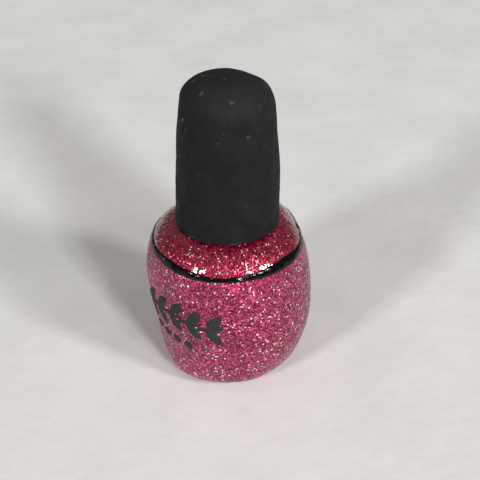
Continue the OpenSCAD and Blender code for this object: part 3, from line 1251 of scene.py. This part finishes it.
        bm = lathe(cape(f.coat_t, 44) + cape(0.0, 8)[::-1], self.columns, closed=True)
        reshape(bm, self._coat_move(1.9 * MM, self.glaze_lumps, 9.7))
        crimson = GlitterFinish(
            "crimson_shoulder_glaze", dark=(0.14, 0.0, 0.008), middle=(0.27, 0.001, 0.02),
            light=(0.52, 0.03, 0.11), flakes_per_metre=3800.0, painted_glint_share=0.018, tilt=0.55,
            coat_roughness=0.05)
        Piece("crimson_shoulder_skin", Body.BOTTLE, Slot.CRIMSON, "shoulder_glaze").place(
            bm, crimson.material(self.groups))

    def _line(self) -> None:
        """Builds the hand-painted gloss line round the shoulder."""
        f = self.form
        half_a = f.line_w / 2 / (f.shoulder_r + f.coat_t)
        shares = [i / 8 for i in range(-8, 9)]
        crest = [(f.line_a + half_a * s, f.coat_t + self.line_t * math.sqrt(max(0.0, 1 - s ** 4)))
                 for s in shares]
        root = [(f.line_a + half_a * s, f.coat_t - self.sunk) for s in (0.9, 0, -0.9)]
        bm = lathe([f.on_shoulder(a, off) for a, off in crest + root], 360, closed=True)

        def brushed(p: Vector) -> Vector:
            """Widens, narrows and strays as a brush does.

            Args:
                p: A point on the true shape.

            Returns:
                Its place on the real one.
            """
            r, azimuth = polar(p)
            a = math.atan2(p.z - f.round_z, r - f.round_x)
            off = math.hypot(r - f.round_x, p.z - f.round_z) - f.shoulder_r
            lane = at(16 * MM, azimuth, 0)
            turn = math.degrees(azimuth) % 360
            width = (1.05 + sum(swerve.at(turn) for swerve in self.line_widths)
                     + 0.2 * ripple(lane, 5 * MM, 2.2) + 0.1 * ripple(lane, 1.4 * MM, 4.4))
            drift = half_a * (sum(swerve.at(turn) for swerve in self.line_drifts)
                              + 0.2 * ripple(lane, 9 * MM, 6.6) + 0.08 * ripple(lane, 1.8 * MM, 7.5))
            a = f.line_a + drift + (a - f.line_a) * width
            if off > f.coat_t:
                off += 0.14 * MM * ripple(p, 1.6 * MM, 5.1)
            r, z = f.on_shoulder(a, off)
            return self.hand.moved(at(r, azimuth, z))

        reshape(bm, brushed)
        gloss = PaintFinish("gloss_black_line", (0.001, 0.001, 0.0015), (0.003, 0.003, 0.0035),
                            roughness=(0.07, 0.16), specular=0.28)
        Piece("painted_shoulder_line", Body.BOTTLE, Slot.GLOSS_PAINT, "shoulder_band").place(
            bm, gloss.material(self.groups))

    def _sprig(self) -> None:
        """Builds the painted sprig: stalk strokes, leaves and a row of dots, each a raised dab."""
        low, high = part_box("painted_sprig")
        sprig = Sprig(self.form, self.hand, middle_z=19.4 * MM,
                      azimuth=math.atan2(low.y + high.y, low.x + high.x))
        matte = PaintFinish("matte_black_dabs", (0.012, 0.0155, 0.0145), (0.022, 0.026, 0.025),
                            roughness=(0.55, 0.8), specular=0.3)
        Piece("painted_leaf_dabs", Body.BOTTLE, Slot.MATTE_PAINT, "painted_sprig").place(
            sprig.mesh(), matte.material(self.groups))

    def _label(self) -> None:
        """Builds the blank sticker under the base, with its edge bevelled."""
        low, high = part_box("base_label")
        edge = 0.05 * MM
        outline = [(0.0, low.z), *spread((0.0, low.z), (high.x - edge, low.z), 12), (high.x, low.z + edge),
                   (high.x, high.z - edge), (high.x - edge, high.z),
                   *spread((high.x - edge, high.z), (0.0, high.z), 12)]
        bm = lathe(outline, 96)
        paper = PaperFinish("sticker_paper", (0.8, 0.79, 0.75), (0.68, 0.66, 0.61), 900.0, 0.5, 0.01 * MM)
        Piece("blank_base_sticker", Body.BOTTLE, Slot.PAPER, "base_label").place(
            bm, paper.material(self.groups))

    def _polish(self) -> None:
        """Builds the polish, which climbs the glass and the brush's well a little at its edges."""
        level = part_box("polish")[1].z
        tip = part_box("bristles")[0].z
        well_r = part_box("bristles")[1].x + self.brush_room
        wall = [p for p in self._inside(16) if p[1] < level - 0.2 * MM]
        shore_r = wall[-1][0]
        radii = [shore_r - (shore_r - well_r) * i / 40 for i in range(41)]
        rises = [bump(r, shore_r, 0.7 * MM) + 0.4 * bump(r, well_r, 0.5 * MM) for r in radii]
        top = [(r, level + self.climb * (rise - 1)) for r, rise in zip(radii, rises)]
        well_floor = tip - self.brush_room
        well = spread(top[-1], (well_r, well_floor), 12) + [(0.0, well_floor)]
        body = [(max(0.0, r - self.polish_gap), z + self.polish_gap) for r, z in wall]
        bm = lathe(body + top + well, 160)
        lacquer = GlitterFinish(
            "crimson_lacquer", dark=(0.25, 0.004, 0.03), middle=(0.4, 0.02, 0.09),
            light=(0.75, 0.2, 0.35), painted_glint_share=0.01, tilt=0.4, coat_roughness=0.03)
        Piece("lacquer_fill", Body.BOTTLE, Slot.LACQUER, "polish").place(bm, lacquer.material(self.groups))


@dataclass(frozen=True)
class Sprig:
    """A sprig painted on the side, in a generic pattern."""

    form: BottleForm
    hand: HandShape
    middle_z: float
    azimuth: float
    spacing: float = 4.4 * MM
    leaf_len: float = 4.6 * MM
    leaf_w: float = 2.4 * MM
    stalk_w: float = 1.4 * MM
    leaf_tilt_deg: float = 48.0
    leaf_ahead: tuple[float, float] = (1.2 * MM, 0.9 * MM)
    leaf_out: float = 1.9 * MM
    stalk_tilt_deg: float = 6.0
    stalk_wave: float = 0.5 * MM
    dot_r: float = 1.1 * MM
    dot_step: Point2 = (3.2 * MM, -0.2 * MM)
    dot_start: Point2 = (-3 * MM, -6.2 * MM)
    thick: float = 0.16 * MM
    sunk: float = 0.12 * MM

    def mesh(self) -> bmesh.types.BMesh:
        """Gives all the dabs as one mesh.

        Returns:
            The mesh.
        """
        bm = bmesh.new()
        leaf = (self.leaf_len, self.leaf_w)
        dot = (2 * self.dot_r, 2 * self.dot_r)
        for i in range(-2, 3):
            along, up = i * self.spacing, self.stalk_wave * math.cos(i * math.pi / 2)
            self._dab(bm, along, up, self.stalk_tilt_deg, (1.25 * self.spacing, self.stalk_w), 0.6, i)
            for side, ahead, seed in ((1, self.leaf_ahead[0], i + 10), (-1, self.leaf_ahead[1], i + 20)):
                self._dab(bm, along + ahead, up + side * self.leaf_out, side * self.leaf_tilt_deg, leaf,
                          0.9, seed)
        for i in range(-1, 3):
            along, up = (start + i * step for start, step in zip(self.dot_start, self.dot_step))
            self._dab(bm, along, up, 0, dot, 0.5, i + 30)
        self._dab(bm, 2.55 * self.spacing, 0.2 * MM, 0, (self.stalk_w, self.stalk_w), 0.5, 40)
        bmesh.ops.recalc_face_normals(bm, faces=bm.faces[:])
        return bm

    def _dab(self, bm: bmesh.types.BMesh, along: float, up: float, tilt_deg: float, size: Point2,
             point: float, seed: int) -> None:
        """Adds one dab of paint that lies on the coat.

        Args:
            bm: The mesh to add to.
            along: Place of its middle along the side, from the sprig's middle.
            up: Place of its middle up the side.
            tilt_deg: Turn of its length from level.
            size: Its length and width.
            point: How pointed its ends are: 0.5 is round, 1 comes to a point.
            seed: Its place in the noise that makes its edge uneven.
        """
        dab = bmesh.new()
        bmesh.ops.create_grid(dab, x_segments=18, y_segments=8, size=1.0)
        grown = bmesh.ops.extrude_face_region(dab, geom=dab.faces[:])
        tops = {g for g in grown["geom"] if isinstance(g, bmesh.types.BMVert)}
        turn = Matrix.Rotation(math.radians(tilt_deg), 2)
        length, width = size
        for v in dab.verts:
            x, y = v.co.x, v.co.y
            half = max(0.0, 1 - x * x) ** point
            uneven = 1 + 0.12 * ripple(Vector((x, y, seed)), 0.6, 1.0)
            flat = turn @ Vector((x * length / 2 * uneven, y * half * width / 2 * uneven))
            dome = math.sqrt(max(0.0, 1 - y ** 4)) * min(1.0, 2.2 * half)
            height = self.thick * dome if v in tops else -self.sunk
            v.co = self._on_side(along + flat.x, up + flat.y, height)
        bmesh.ops.remove_doubles(dab, verts=dab.verts[:], dist=1e-6)
        absorb(bm, dab)

    def _on_side(self, along: float, up: float, height: float) -> Vector:
        """Gives the point at a place on the coated side and a height over it.

        Args:
            along: Its distance round the side from the sprig's middle.
            up: Its height over the sprig's middle.
            height: How far it stands over the coat.

        Returns:
            The point.
        """
        z = self.middle_z + up
        r = self.form.side_radius(z, self.form.coat_t + height)
        return self.hand.moved(at(r, self.azimuth + along / self.form.glass_r, z))


# ---------------------------------------------------------------------------------------------------
# The cap and its brush


@dataclass(frozen=True)
class Cap:
    """The outer cap, the screw cap in it, its liner and the brush that it carries."""

    groups: SharedGroups
    form: BottleForm
    crown_h: float = 7.2 * MM
    crown_power: float = 0.87
    taper: float = 1.35 * MM
    wall: float = 1.3 * MM
    rim_bevel: float = 0.35 * MM
    rim_drop: float = 0.15 * MM
    fin_count: int = 12
    fin_t: float = 0.9 * MM
    fin_stop: float = 1 * MM
    fin_foot_up: float = 0.8 * MM
    fin_head_up: float = 4.2 * MM
    screw_wall: float = 1.3 * MM
    screw_top_t: float = 1.6 * MM
    screw_ridge_h: float = 0.45 * MM
    screw_turns: float = 1.4
    groove_count: int = 24
    groove_r: float = 0.35 * MM
    stem_r: float = 1.9 * MM
    stem_clear: float = 0.05 * MM
    plug_r: float = 2.6 * MM
    head_t: float = 1.2 * MM
    socket_h: float = 4 * MM
    socket_r: float = 1.25 * MM
    columns: int = 256

    def build(self) -> None:
        """Builds every piece of the closure."""
        self._overcap()
        self._screw_cap()
        self._liner()
        self._stem()
        self._bristles()
        self._anchor()

    def _outline(self, inset: float, steps: int, rows: int) -> list[Point2]:
        """Gives the outer cap's outline moved inwards, from its rim to the middle of its crown.

        Args:
            inset: How far inwards.
            steps: Stretches on the crown.
            rows: Stretches on the side.

        Returns:
            The outline's points.
        """
        low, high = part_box("overcap")
        rim_r, top_r, dome_z = high.x, high.x - self.taper, high.z - self.crown_h
        side_start = (rim_r - inset, low.z)
        side_end = (top_r - inset, dome_z)
        angles = [math.pi / 2 * i / steps for i in range(1, steps)]
        dome = [((top_r - inset) * math.cos(a) ** self.crown_power,
                 dome_z + (self.crown_h - inset) * math.sin(a) ** self.crown_power) for a in angles]
        return [side_start, *spread(side_start, side_end, rows), *dome, (0.0, high.z - inset)]

    def _overcap(self) -> None:
        """Builds the outer cap with its fins."""
        low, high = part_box("overcap")
        outer = self._outline(0.0, 30, 60)
        bevel = arc(high.x - self.rim_bevel, low.z - self.rim_drop + self.rim_bevel, self.rim_bevel,
                    -math.pi / 2, 0, 5)
        inner = self._outline(self.wall, 16, 12)
        above = [p for p in outer if p[1] > low.z + self.rim_bevel * 1.2]
        profile = [*inner[::-1], *bevel, *above]
        bm = lathe(profile, self.columns)
        dents = self._dents(low.z, high.z)

        def finished(p: Vector) -> Vector:
            """Strays as a hand-finished surface does, outside only.

            Args:
                p: A point on the true shape.

            Returns:
                Its place on the real one.
            """
            r, azimuth = polar(p)
            if not self._is_skin(r, p.z, low.z, high):
                return p
            slope = math.pi / 2 * smoothstep(high.z - self.crown_h, high.z, p.z)
            out = at(math.cos(slope), azimuth, math.sin(slope))
            dent = sum(d.at(p) for d in dents)
            uneven = 0.12 * MM * ripple(p, 6 * MM, 12.5) + 0.06 * MM * ripple(p, 2.2 * MM, 3.9)
            return p + out * (dent + uneven)

        reshape(bm, finished)
        self._fins(bm, low, high)
        bmesh.ops.recalc_face_normals(bm, faces=bm.faces[:])
        Piece("overcap_shell", Body.CAP, Slot.CAP, "overcap", sharp_deg=40).place(
            bm, CapFinish("cap_matte_black", low.z, high.z).material(self.groups))

    @staticmethod
    def _dents(rim: float, crown: float) -> tuple[Dent, ...]:
        """Gives the lumps and hollows of the outer cap.

        Args:
            rim: Height of its rim.
            crown: Height of its crown.

        Returns:
            The lumps and hollows.
        """
        return (
            Dent(178, 9.4 * MM, crown - 5.6 * MM, 4 * MM, -0.45 * MM),
            Dent(160, 7.5 * MM, crown - 2 * MM, 3 * MM, 0.3 * MM),
            Dent(172, 9 * MM, crown - 3.4 * MM, 1.6 * MM, 0.22 * MM),
            Dent(50, 7.6 * MM, crown - 2 * MM, 3.4 * MM, -0.25 * MM),
            Dent(20, 8.6 * MM, crown - 2.6 * MM, 3 * MM, 0.25 * MM),
            Dent(285, 5 * MM, crown - 0.6 * MM, 4 * MM, 0.25 * MM),
            Dent(100, 2 * MM, crown, 4.5 * MM, -0.5 * MM),
            Dent(270, 9.4 * MM, crown - 5.2 * MM, 4.5 * MM, 0.2 * MM),
            Dent(0, 10.2 * MM, crown - 17 * MM, 9 * MM, 0.28 * MM),
            Dent(0, 11 * MM, rim + 1 * MM, 4 * MM, -0.38 * MM),
            Dent(280, 9 * MM, crown - 4.5 * MM, 5 * MM, 0.15 * MM),
            Dent(240, 9.5 * MM, crown - 7 * MM, 5 * MM, -0.14 * MM),
            Dent(90, 9 * MM, crown - 4 * MM, 5 * MM, 0.2 * MM),
            Dent(120, 10 * MM, crown - 13 * MM, 7 * MM, -0.2 * MM),
        )

    def _is_skin(self, r: float, z: float, rim_z: float, high: Vector) -> bool:
        """Tells the outer cap's outside from its inside.

        Args:
            r: Radius of a point of the cap.
            z: Its height.
            rim_z: Height of the rim.
            high: Highest corner of the cap.

        Returns:
            True on the outside.
        """
        dome_z = high.z - self.crown_h
        if z < dome_z:
            share = (z - rim_z) / (dome_z - rim_z)
            return r > high.x - self.taper * share - self.wall / 2
        lift = (z - dome_z) / (self.crown_h - self.wall / 2)
        across = r / (high.x - self.taper - self.wall / 2)
        power = 2 / self.crown_power
        return lift ** power + across ** power > 1

    def _fins(self, bm: bmesh.types.BMesh, low: Vector, high: Vector) -> None:
        """Adds the fins that grip the screw cap and stop against its top.

        Args:
            bm: The outer cap's mesh.
            low: Lowest corner of the outer cap.
            high: Its highest corner.
        """
        screw_foot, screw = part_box("inner_cap")
        foot_z = screw_foot.z + self.fin_foot_up
        head_z = screw.z + self.fin_head_up

        def wall_r(z: float) -> float:
            """Gives a radius inside the wall at a height."""
            share = (z - low.z) / (high.z - self.crown_h - low.z)
            return high.x - self.taper * share - self.wall * 0.6

        outline = [(screw.x, foot_z), (wall_r(foot_z), foot_z), (wall_r(head_z), head_z),
                   (screw.x - self.fin_stop, head_z), (screw.x - self.fin_stop, screw.z),
                   (screw.x, screw.z)]
        fin = bmesh.new()
        face = fin.faces.new([fin.verts.new((r, -self.fin_t / 2, z)) for r, z in outline])
        grown = bmesh.ops.extrude_face_region(fin, geom=[face])
        moved = [g for g in grown["geom"] if isinstance(g, bmesh.types.BMVert)]
        bmesh.ops.translate(fin, verts=moved, vec=(0, self.fin_t, 0))
        bmesh.ops.recalc_face_normals(fin, faces=fin.faces[:])
        bmesh.ops.bevel(fin, geom=fin.edges[:], offset=0.12 * MM, offset_type="OFFSET", segments=2,
                        profile=0.5, affect="EDGES", clamp_overlap=True, material=-1)
        part = bpy.data.meshes.new("fin")
        fin.to_mesh(part)
        fin.free()
        for i in range(self.fin_count):
            turn = Matrix.Rotation(math.tau * i / self.fin_count, 3, "Z")
            add_copy(bm, part, lambda p, turn=turn: turn @ p)
        bpy.data.meshes.remove(part)

    def _screw_cap(self) -> None:
        """Builds the screw cap, with its grip grooves outside and its thread inside."""
        f = self.form
        low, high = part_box("inner_cap")
        bore_r = high.x - self.screw_wall
        ceiling = high.z - self.screw_top_t
        edge = 0.25 * MM
        skirt = spread((bore_r + edge, low.z), (high.x - edge, low.z), 3)
        outer = spread((high.x, low.z + edge), (high.x, high.z - edge), 24)
        top = spread((high.x - edge, high.z), (self.plug_r, high.z), 6)
        bore = spread((self.plug_r, high.z), (self.plug_r, ceiling), 3)
        roof = spread((self.plug_r, ceiling), (bore_r, ceiling), 4)
        inner = spread((bore_r, ceiling), (bore_r, low.z + edge), 84)
        profile = ([(bore_r + edge, low.z), *skirt, (high.x, low.z + edge), *outer, (high.x - edge, high.z),
                    *top, *bore, *roof, *inner])
        bm = lathe(profile, self.groove_count * 12, closed=True)
        start_z = f.thread_z - f.thread_pitch / 2
        groove_turn = math.tau / self.groove_count

        def shaped(p: Vector) -> Vector:
            """Cuts the grooves and raises the thread.

            Args:
                p: A point on the true shape.

            Returns:
                Its place on the real one.
            """
            r, azimuth = polar(p)
            if r > high.x - 1.2 * edge:
                away = abs((azimuth % groove_turn) - groove_turn / 2) * high.x
                cut = math.sqrt(max(0.0, self.groove_r ** 2 - away ** 2))
                return at(r - 0.95 * cut, azimuth, p.z)
            if abs(r - bore_r) < 1e-5:
                rise = thread_height(p, start_z, f.thread_pitch, self.screw_turns, self.screw_ridge_h)
                return at(r - rise, azimuth, p.z)
            return p

        reshape(bm, shaped)
        plastic = MouldedFinish("closure_satin_black", (0.028, 0.028, 0.03), 0.38)
        Piece("screw_cap", Body.CAP, Slot.CLOSURE, "inner_cap", sharp_deg=35).place(
            bm, plastic.material(self.groups))

    def _liner(self) -> None:
        """Builds the liner, with the mark that the lip has pressed into it."""
        low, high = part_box("seal_liner")
        bore_r = self.stem_r + self.stem_clear
        edge = 0.12 * MM
        mark_r = (self.form.mouth_r + self.form.neck_r) / 2
        profile = [*spread((high.x - edge, high.z), (bore_r + edge, high.z), 8), (bore_r, high.z - edge),
                   (bore_r, low.z + edge), *spread((bore_r, low.z + edge), (bore_r + edge, low.z), 1),
                   *spread((bore_r + edge, low.z), (high.x - edge, low.z), 40), (high.x, low.z + edge),
                   (high.x, high.z - edge), (high.x - edge, high.z)]
        bm = lathe(profile, 120, closed=True)

        def pressed(p: Vector) -> Vector:
            """Gives way where the lip presses.

            Args:
                p: A point on the true shape.

            Returns:
                Its place on the real one.
            """
            r, _ = polar(p)
            mark = 0.07 * MM * bump(r, mark_r, 0.75 * MM) if p.z < low.z + 1e-6 else 0.0
            return p + Vector((0, 0, mark))

        reshape(bm, pressed)
        Piece("soft_seal_liner", Body.LINER, Slot.FOAM, "seal_liner").place(
            bm, FoamFinish("liner_foam", mark_r).material(self.groups))

    def _stem(self) -> None:
        """Builds the stem, its plug and its head, with the bristles' socket in its foot."""
        low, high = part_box("brush_stem")
        runs_end, film_end, film_t = 6 * MM, 13 * MM, 0.06 * MM
        stem_r, plug_r, head_r = self.stem_r, self.plug_r, high.x
        screw_top_z = high.z - self.head_t
        ceiling = screw_top_z - self.screw_top_t
        socket_z = low.z + self.socket_h
        edge, foot_round = 0.2 * MM, 1 * MM
        foot = [(self.socket_r, socket_z), (self.socket_r, low.z), (stem_r - 0.35 * MM, low.z)]
        taper = arc(stem_r - foot_round, low.z + foot_round, foot_round, math.radians(-50), 0, 6)
        shaft = spread(taper[-1], (stem_r, ceiling), 60)
        plug = [(plug_r - edge, ceiling), (plug_r, ceiling + edge), (plug_r, screw_top_z)]
        head = [(head_r - edge, screw_top_z), (head_r, screw_top_z + edge), (head_r, high.z - edge),
                (head_r - edge, high.z), (0.0, high.z)]
        profile = [(0.0, socket_z), *foot, *taper, *shaft, *plug, *head]
        bm = lathe(profile, 72)

        def coated(p: Vector) -> Vector:
            """Thickens the foot a little, where lacquer clings to it in runs.

            Args:
                p: A point on the true shape.

            Returns:
                Its place on the real one.
            """
            r, azimuth = polar(p)
            if r < stem_r - 1e-5 or r > stem_r + 1e-5 or p.z > ceiling - 1 * MM:
                return p
            runs = max(0.0, ripple(at(6 * MM, azimuth, p.z * 0.25), 2.2 * MM, 4.0))
            film = film_t * runs * (1 - smoothstep(low.z + runs_end, low.z + film_end, p.z))
            return at(r + film, azimuth, p.z)

        reshape(bm, coated)
        plastic = MouldedFinish("stem_black_plastic", (0.03, 0.03, 0.032), 0.3,
                                wet_below=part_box("polish")[1].z)
        Piece("brush_stem_rod", Body.CAP, Slot.STEM, "brush_stem", sharp_deg=40).place(
            bm, plastic.material(self.groups))

    def _bristles(self) -> None:
        """Builds the tuft: single filaments round a core of lacquer-laden ones."""
        low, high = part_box("bristles")
        tuft = Tuft(tip_z=low.z, foot_z=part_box("brush_stem")[0].z, root_z=high.z, belly_r=high.x)
        nylon = MouldedFinish("bristle_black_nylon", (0.045, 0.035, 0.036), 0.34,
                              wet_below=tuft.foot_z + 4 * MM)
        Piece("brush_tuft", Body.CAP, Slot.NYLON, "bristles").place(tuft.mesh(), nylon.material(self.groups))

    def _anchor(self) -> None:
        """Builds the anchor plate, with its burred edges rounded."""
        low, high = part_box("bristle_anchor")
        bm = bmesh.new()
        bmesh.ops.create_cube(bm, size=1.0)
        bmesh.ops.scale(bm, verts=bm.verts[:], vec=high - low)
        bmesh.ops.translate(bm, verts=bm.verts[:], vec=(low + high) / 2)
        bmesh.ops.bevel(bm, geom=bm.edges[:], offset=0.06 * MM, offset_type="OFFSET", segments=3,
                        profile=0.5, affect="EDGES", clamp_overlap=True, material=-1)
        steel = MetalFinish("anchor_rolled_metal", (0.62, 0.6, 0.54), (0.25, 0.42), 0.3, 0.01 * MM)
        Piece("bristle_anchor_plate", Body.CAP, Slot.ANCHOR, "bristle_anchor").place(
            bm, steel.material(self.groups))


@dataclass(frozen=True)
class Tuft:
    """Filaments of the brush, swelling below their root and closing to a round tip."""

    tip_z: float
    foot_z: float
    root_z: float
    belly_r: float
    root_r: float = 1.2 * MM
    filament_r: float = 0.055 * MM
    count: int = 230
    stations: int = 7
    core_share: float = 0.86

    def radius(self, z: float) -> float:
        """Gives the tuft's radius at a height.

        Args:
            z: The height.

        Returns:
            The radius.
        """
        t = (z - self.tip_z) / (self.foot_z - self.tip_z)
        if t >= 1:
            return self.root_r
        swell = math.sin(math.pi / 2 * min(1.0, (1 - t) / 0.7)) ** 1.5
        tip_round = math.sqrt(max(0.0, 1 - max(0.0, 1 - t / 0.22) ** 2))
        return (self.root_r + (self.belly_r - self.filament_r - self.root_r) * swell) * tip_round

    def mesh(self) -> bmesh.types.BMesh:
        """Gives the whole tuft as one mesh.

        Returns:
            The mesh.
        """
        bm = bmesh.new()
        part = self._filament()
        rng = random.Random(7)
        golden = math.pi * (3 - math.sqrt(5))
        for k in range(self.count):
            share = math.sqrt((k + 0.5) / self.count)
            azimuth = k * golden + rng.uniform(-0.2, 0.2)
            self._plant(bm, part, share, azimuth, rng)
        bpy.data.meshes.remove(part)
        self._core(bm)
        bmesh.ops.recalc_face_normals(bm, faces=bm.faces[:])
        return bm

    def _core(self, bm: bmesh.types.BMesh) -> None:
        """Adds the filaments that lacquer holds together inside the tuft, as one solid.

        Args:
            bm: The tuft's mesh.
        """
        heights = [self.tip_z + (self.foot_z - self.tip_z) * (0.02 + 0.98 * i / 24) for i in range(25)]
        outline = [(0.0, heights[0])] + [(self.core_share * self.radius(z), z) for z in heights]
        absorb(bm, lathe([*outline, (self.root_r * 0.9, self.root_z), (0.0, self.root_z)], 40))

    def _filament(self) -> bpy.types.Mesh:
        """Gives a straight filament of height 1, its tip at 0, tapered towards the tip.

        Returns:
            The filament.
        """
        bm = bmesh.new()
        bmesh.ops.create_cone(bm, cap_ends=True, segments=5, radius1=0.55 * self.filament_r,
                              radius2=self.filament_r, depth=1.0)
        bmesh.ops.translate(bm, verts=bm.verts[:], vec=(0, 0, 0.5))
        for i in range(1, self.stations):
            bmesh.ops.bisect_plane(bm, geom=bm.verts[:] + bm.edges[:] + bm.faces[:], dist=1e-7,
                                   plane_co=(0, 0, i / self.stations), plane_no=(0, 0, 1))
        part = bpy.data.meshes.new("filament")
        bm.to_mesh(part)
        bm.free()
        return part

    def _plant(self, bm: bmesh.types.BMesh, part: bpy.types.Mesh, share: float, azimuth: float,
               rng: random.Random) -> None:
        """Adds one filament.

        Args:
            bm: The tuft's mesh.
            part: The straight filament.
            share: Its place between the tuft's axis, 0, and its outside, 1.
            azimuth: Its direction from the axis.
            rng: Source of its small differences.
        """
        tip_rise = (self.foot_z - self.tip_z) * 0.2 * (1 - math.sqrt(1 - 0.98 * share ** 2))
        start = self.tip_z + tip_rise + rng.uniform(0, 0.3) * MM
        sway = rng.uniform(-0.05, 0.05)

        def planted(p: Vector) -> Vector:
            """Bends the filament along the tuft.

            Args:
                p: A point of the straight filament.

            Returns:
                Its place in the tuft.
            """
            z = start + (self.root_z - start) * p.z
            reach = share * max(self.radius(z), 0.35 * self.belly_r * (1 - p.z) ** 2)
            return at(reach, azimuth + sway * (1 - p.z), z) + Vector((p.x, p.y, 0))

        add_copy(bm, part, planted)


# ---------------------------------------------------------------------------------------------------
# The mixing balls


@dataclass(frozen=True)
class MixingBalls:
    """Two polished balls that stir the polish, each filmed with it in places."""

    groups: SharedGroups

    def build(self) -> None:
        """Builds both balls."""
        steel = MetalFinish("ball_polished_steel", (0.66, 0.67, 0.69), (0.08, 0.2), 0.35, 0.004 * MM)
        material = steel.material(self.groups)
        for node, body in (("mixing_ball_a", Body.BALL_A), ("mixing_ball_b", Body.BALL_B)):
            low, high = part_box(node)
            r = (high.z - low.z) / 2
            bm = lathe([(0.0, -r), *arc(0, 0, r, -math.pi / 2, math.pi / 2, 24)[1:-1], (0.0, r)], 48)
            bmesh.ops.translate(bm, verts=bm.verts[:], vec=(low + high) / 2)
            Piece(f"steel_{node}", body, Slot.STEEL, node).place(bm, material)


# ---------------------------------------------------------------------------------------------------
# The studio


@dataclass(frozen=True)
class SoftLight:
    """A square soft light that aims at the object."""

    name: str
    azimuth_deg: float
    elevation_deg: float
    distance: float
    size: tuple[float, float]
    watts: float
    colour: Colour

    def place(self, aim: Vector) -> None:
        """Sets the light up.

        Args:
            aim: The point that it faces.
        """
        lamp = bpy.data.lights.new(self.name, "AREA")
        lamp.shape, lamp.energy, lamp.color = "RECTANGLE", self.watts, self.colour
        lamp.size, lamp.size_y = self.size
        azimuth, lift = math.radians(self.azimuth_deg), math.radians(self.elevation_deg)
        back = at(math.cos(lift), azimuth - math.pi / 2, math.sin(lift))
        holder = bpy.data.objects.new(self.name, lamp)
        holder.location = aim + back * self.distance
        holder.rotation_euler = (-back).to_track_quat("-Z", "Y").to_euler()
        bpy.context.scene.collection.objects.link(holder)


@dataclass(frozen=True)
class Studio:
    """A sheet of pale paper, soft lights and the camera."""

    groups: SharedGroups
    floor_r: float = 2.5
    lens_mm: float = 75.0
    distance: float = 213.5 * MM
    elevation_deg: float = 35.12
    roll_deg: float = -0.92
    aside: float = 2.375 * MM
    below_middle: float = 4.44 * MM
    fill: float = 0.22
    backdrop: Colour = (2.95, 2.9, 2.84)
    lights: tuple[SoftLight, ...] = (
        SoftLight("window_front", 28.5, 24, 3.6, (0.5, 0.6), 80.0, (0.98, 1.0, 0.99)),
        SoftLight("window_right", 55, 29, 3.6, (0.48, 0.7), 60.0, (0.98, 0.98, 1.0)),
        SoftLight("window_left", -43, 24.5, 3.6, (0.5, 0.6), 62.0, (0.98, 1.0, 1.0)),
        SoftLight("window_top", 33, 50, 3.6, (0.2, 0.26), 9.0, (0.98, 1.0, 0.99)),
    )

    def build(self) -> None:
        """Sets up the floor, the lights, the surroundings and the camera."""
        low, high = cad_box
        middle = (low + high) / 2
        self._floor()
        for light in self.lights:
            light.place(middle)
        self._surroundings()
        self._camera(middle)

    def _floor(self) -> None:
        """Lays the paper."""
        bm = bmesh.new()
        bmesh.ops.create_circle(bm, cap_ends=True, segments=96, radius=self.floor_r)
        bmesh.ops.recalc_face_normals(bm, faces=bm.faces[:])
        mesh = bpy.data.meshes.new("floor")
        bm.to_mesh(mesh)
        bm.free()
        paper = PaperFinish("pale_paper", (0.79, 0.775, 0.765), (0.73, 0.715, 0.705), 45.0, 0.75, 0.1 * MM)
        mesh.materials.append(paper.material(self.groups))
        floor = bpy.data.objects.new("floor", mesh)
        bpy.context.scene.collection.objects.link(floor)

    def _surroundings(self) -> None:
        """Fills the shadows with a pale sky that darkens towards the horizon."""
        world = bpy.data.worlds.new("pale_room")
        world.use_nodes = True
        bpy.context.scene.world = world
        desk = Desk(world.node_tree)
        sky = world.node_tree.nodes["Background"]
        height = desk.add("SeparateXYZ", None, Vector=desk.add("TexCoord").outputs["Generated"])
        share = desk.ramp(height.outputs["Z"], -0.1, 0.9)
        light = desk.mix(share, (0.55, 0.52, 0.48), (1.0, 0.95, 0.88))
        seen = desk.add("LightPath").outputs["Is Camera Ray"]
        desk.feed(sky.inputs["Color"], desk.mix(seen, light, self.backdrop))
        sky.inputs["Strength"].default_value = self.fill

    def _camera(self, middle: Vector) -> None:
        """Sets up the camera, above and in front.

        Args:
            middle: Middle of the object's box.
        """
        data = bpy.data.cameras.new("camera")
        data.lens, data.sensor_width, data.sensor_fit = self.lens_mm, 36.0, "HORIZONTAL"
        data.clip_start, data.clip_end = 0.01, 10.0
        lift = math.radians(self.elevation_deg)
        aim = Vector((self.aside, 0.0, middle.z - self.below_middle))
        spot = aim + self.distance * Vector((0, -math.cos(lift), math.sin(lift)))
        turn = Matrix.Rotation(math.pi / 2 - lift, 4, "X") @ Matrix.Rotation(
            math.radians(self.roll_deg), 4, "Z")
        camera = bpy.data.objects.new("camera", data)
        camera.matrix_world = Matrix.Translation(spot) @ turn
        bpy.context.scene.collection.objects.link(camera)
        bpy.context.scene.camera = camera


def main() -> None:
    """Builds the object and its studio."""
    logging.basicConfig(level=logging.INFO, format="%(name)s %(message)s")
    bpy.context.scene.view_settings.view_transform = "Standard"
    groups = SharedGroups()
    form = BottleForm()
    hand = HandShape(form)
    Studio(groups).build()
    Bottle(form, hand, groups).build()
    Cap(groups, form).build()
    MixingBalls(groups).build()


if __name__ == "__main__":
    main()
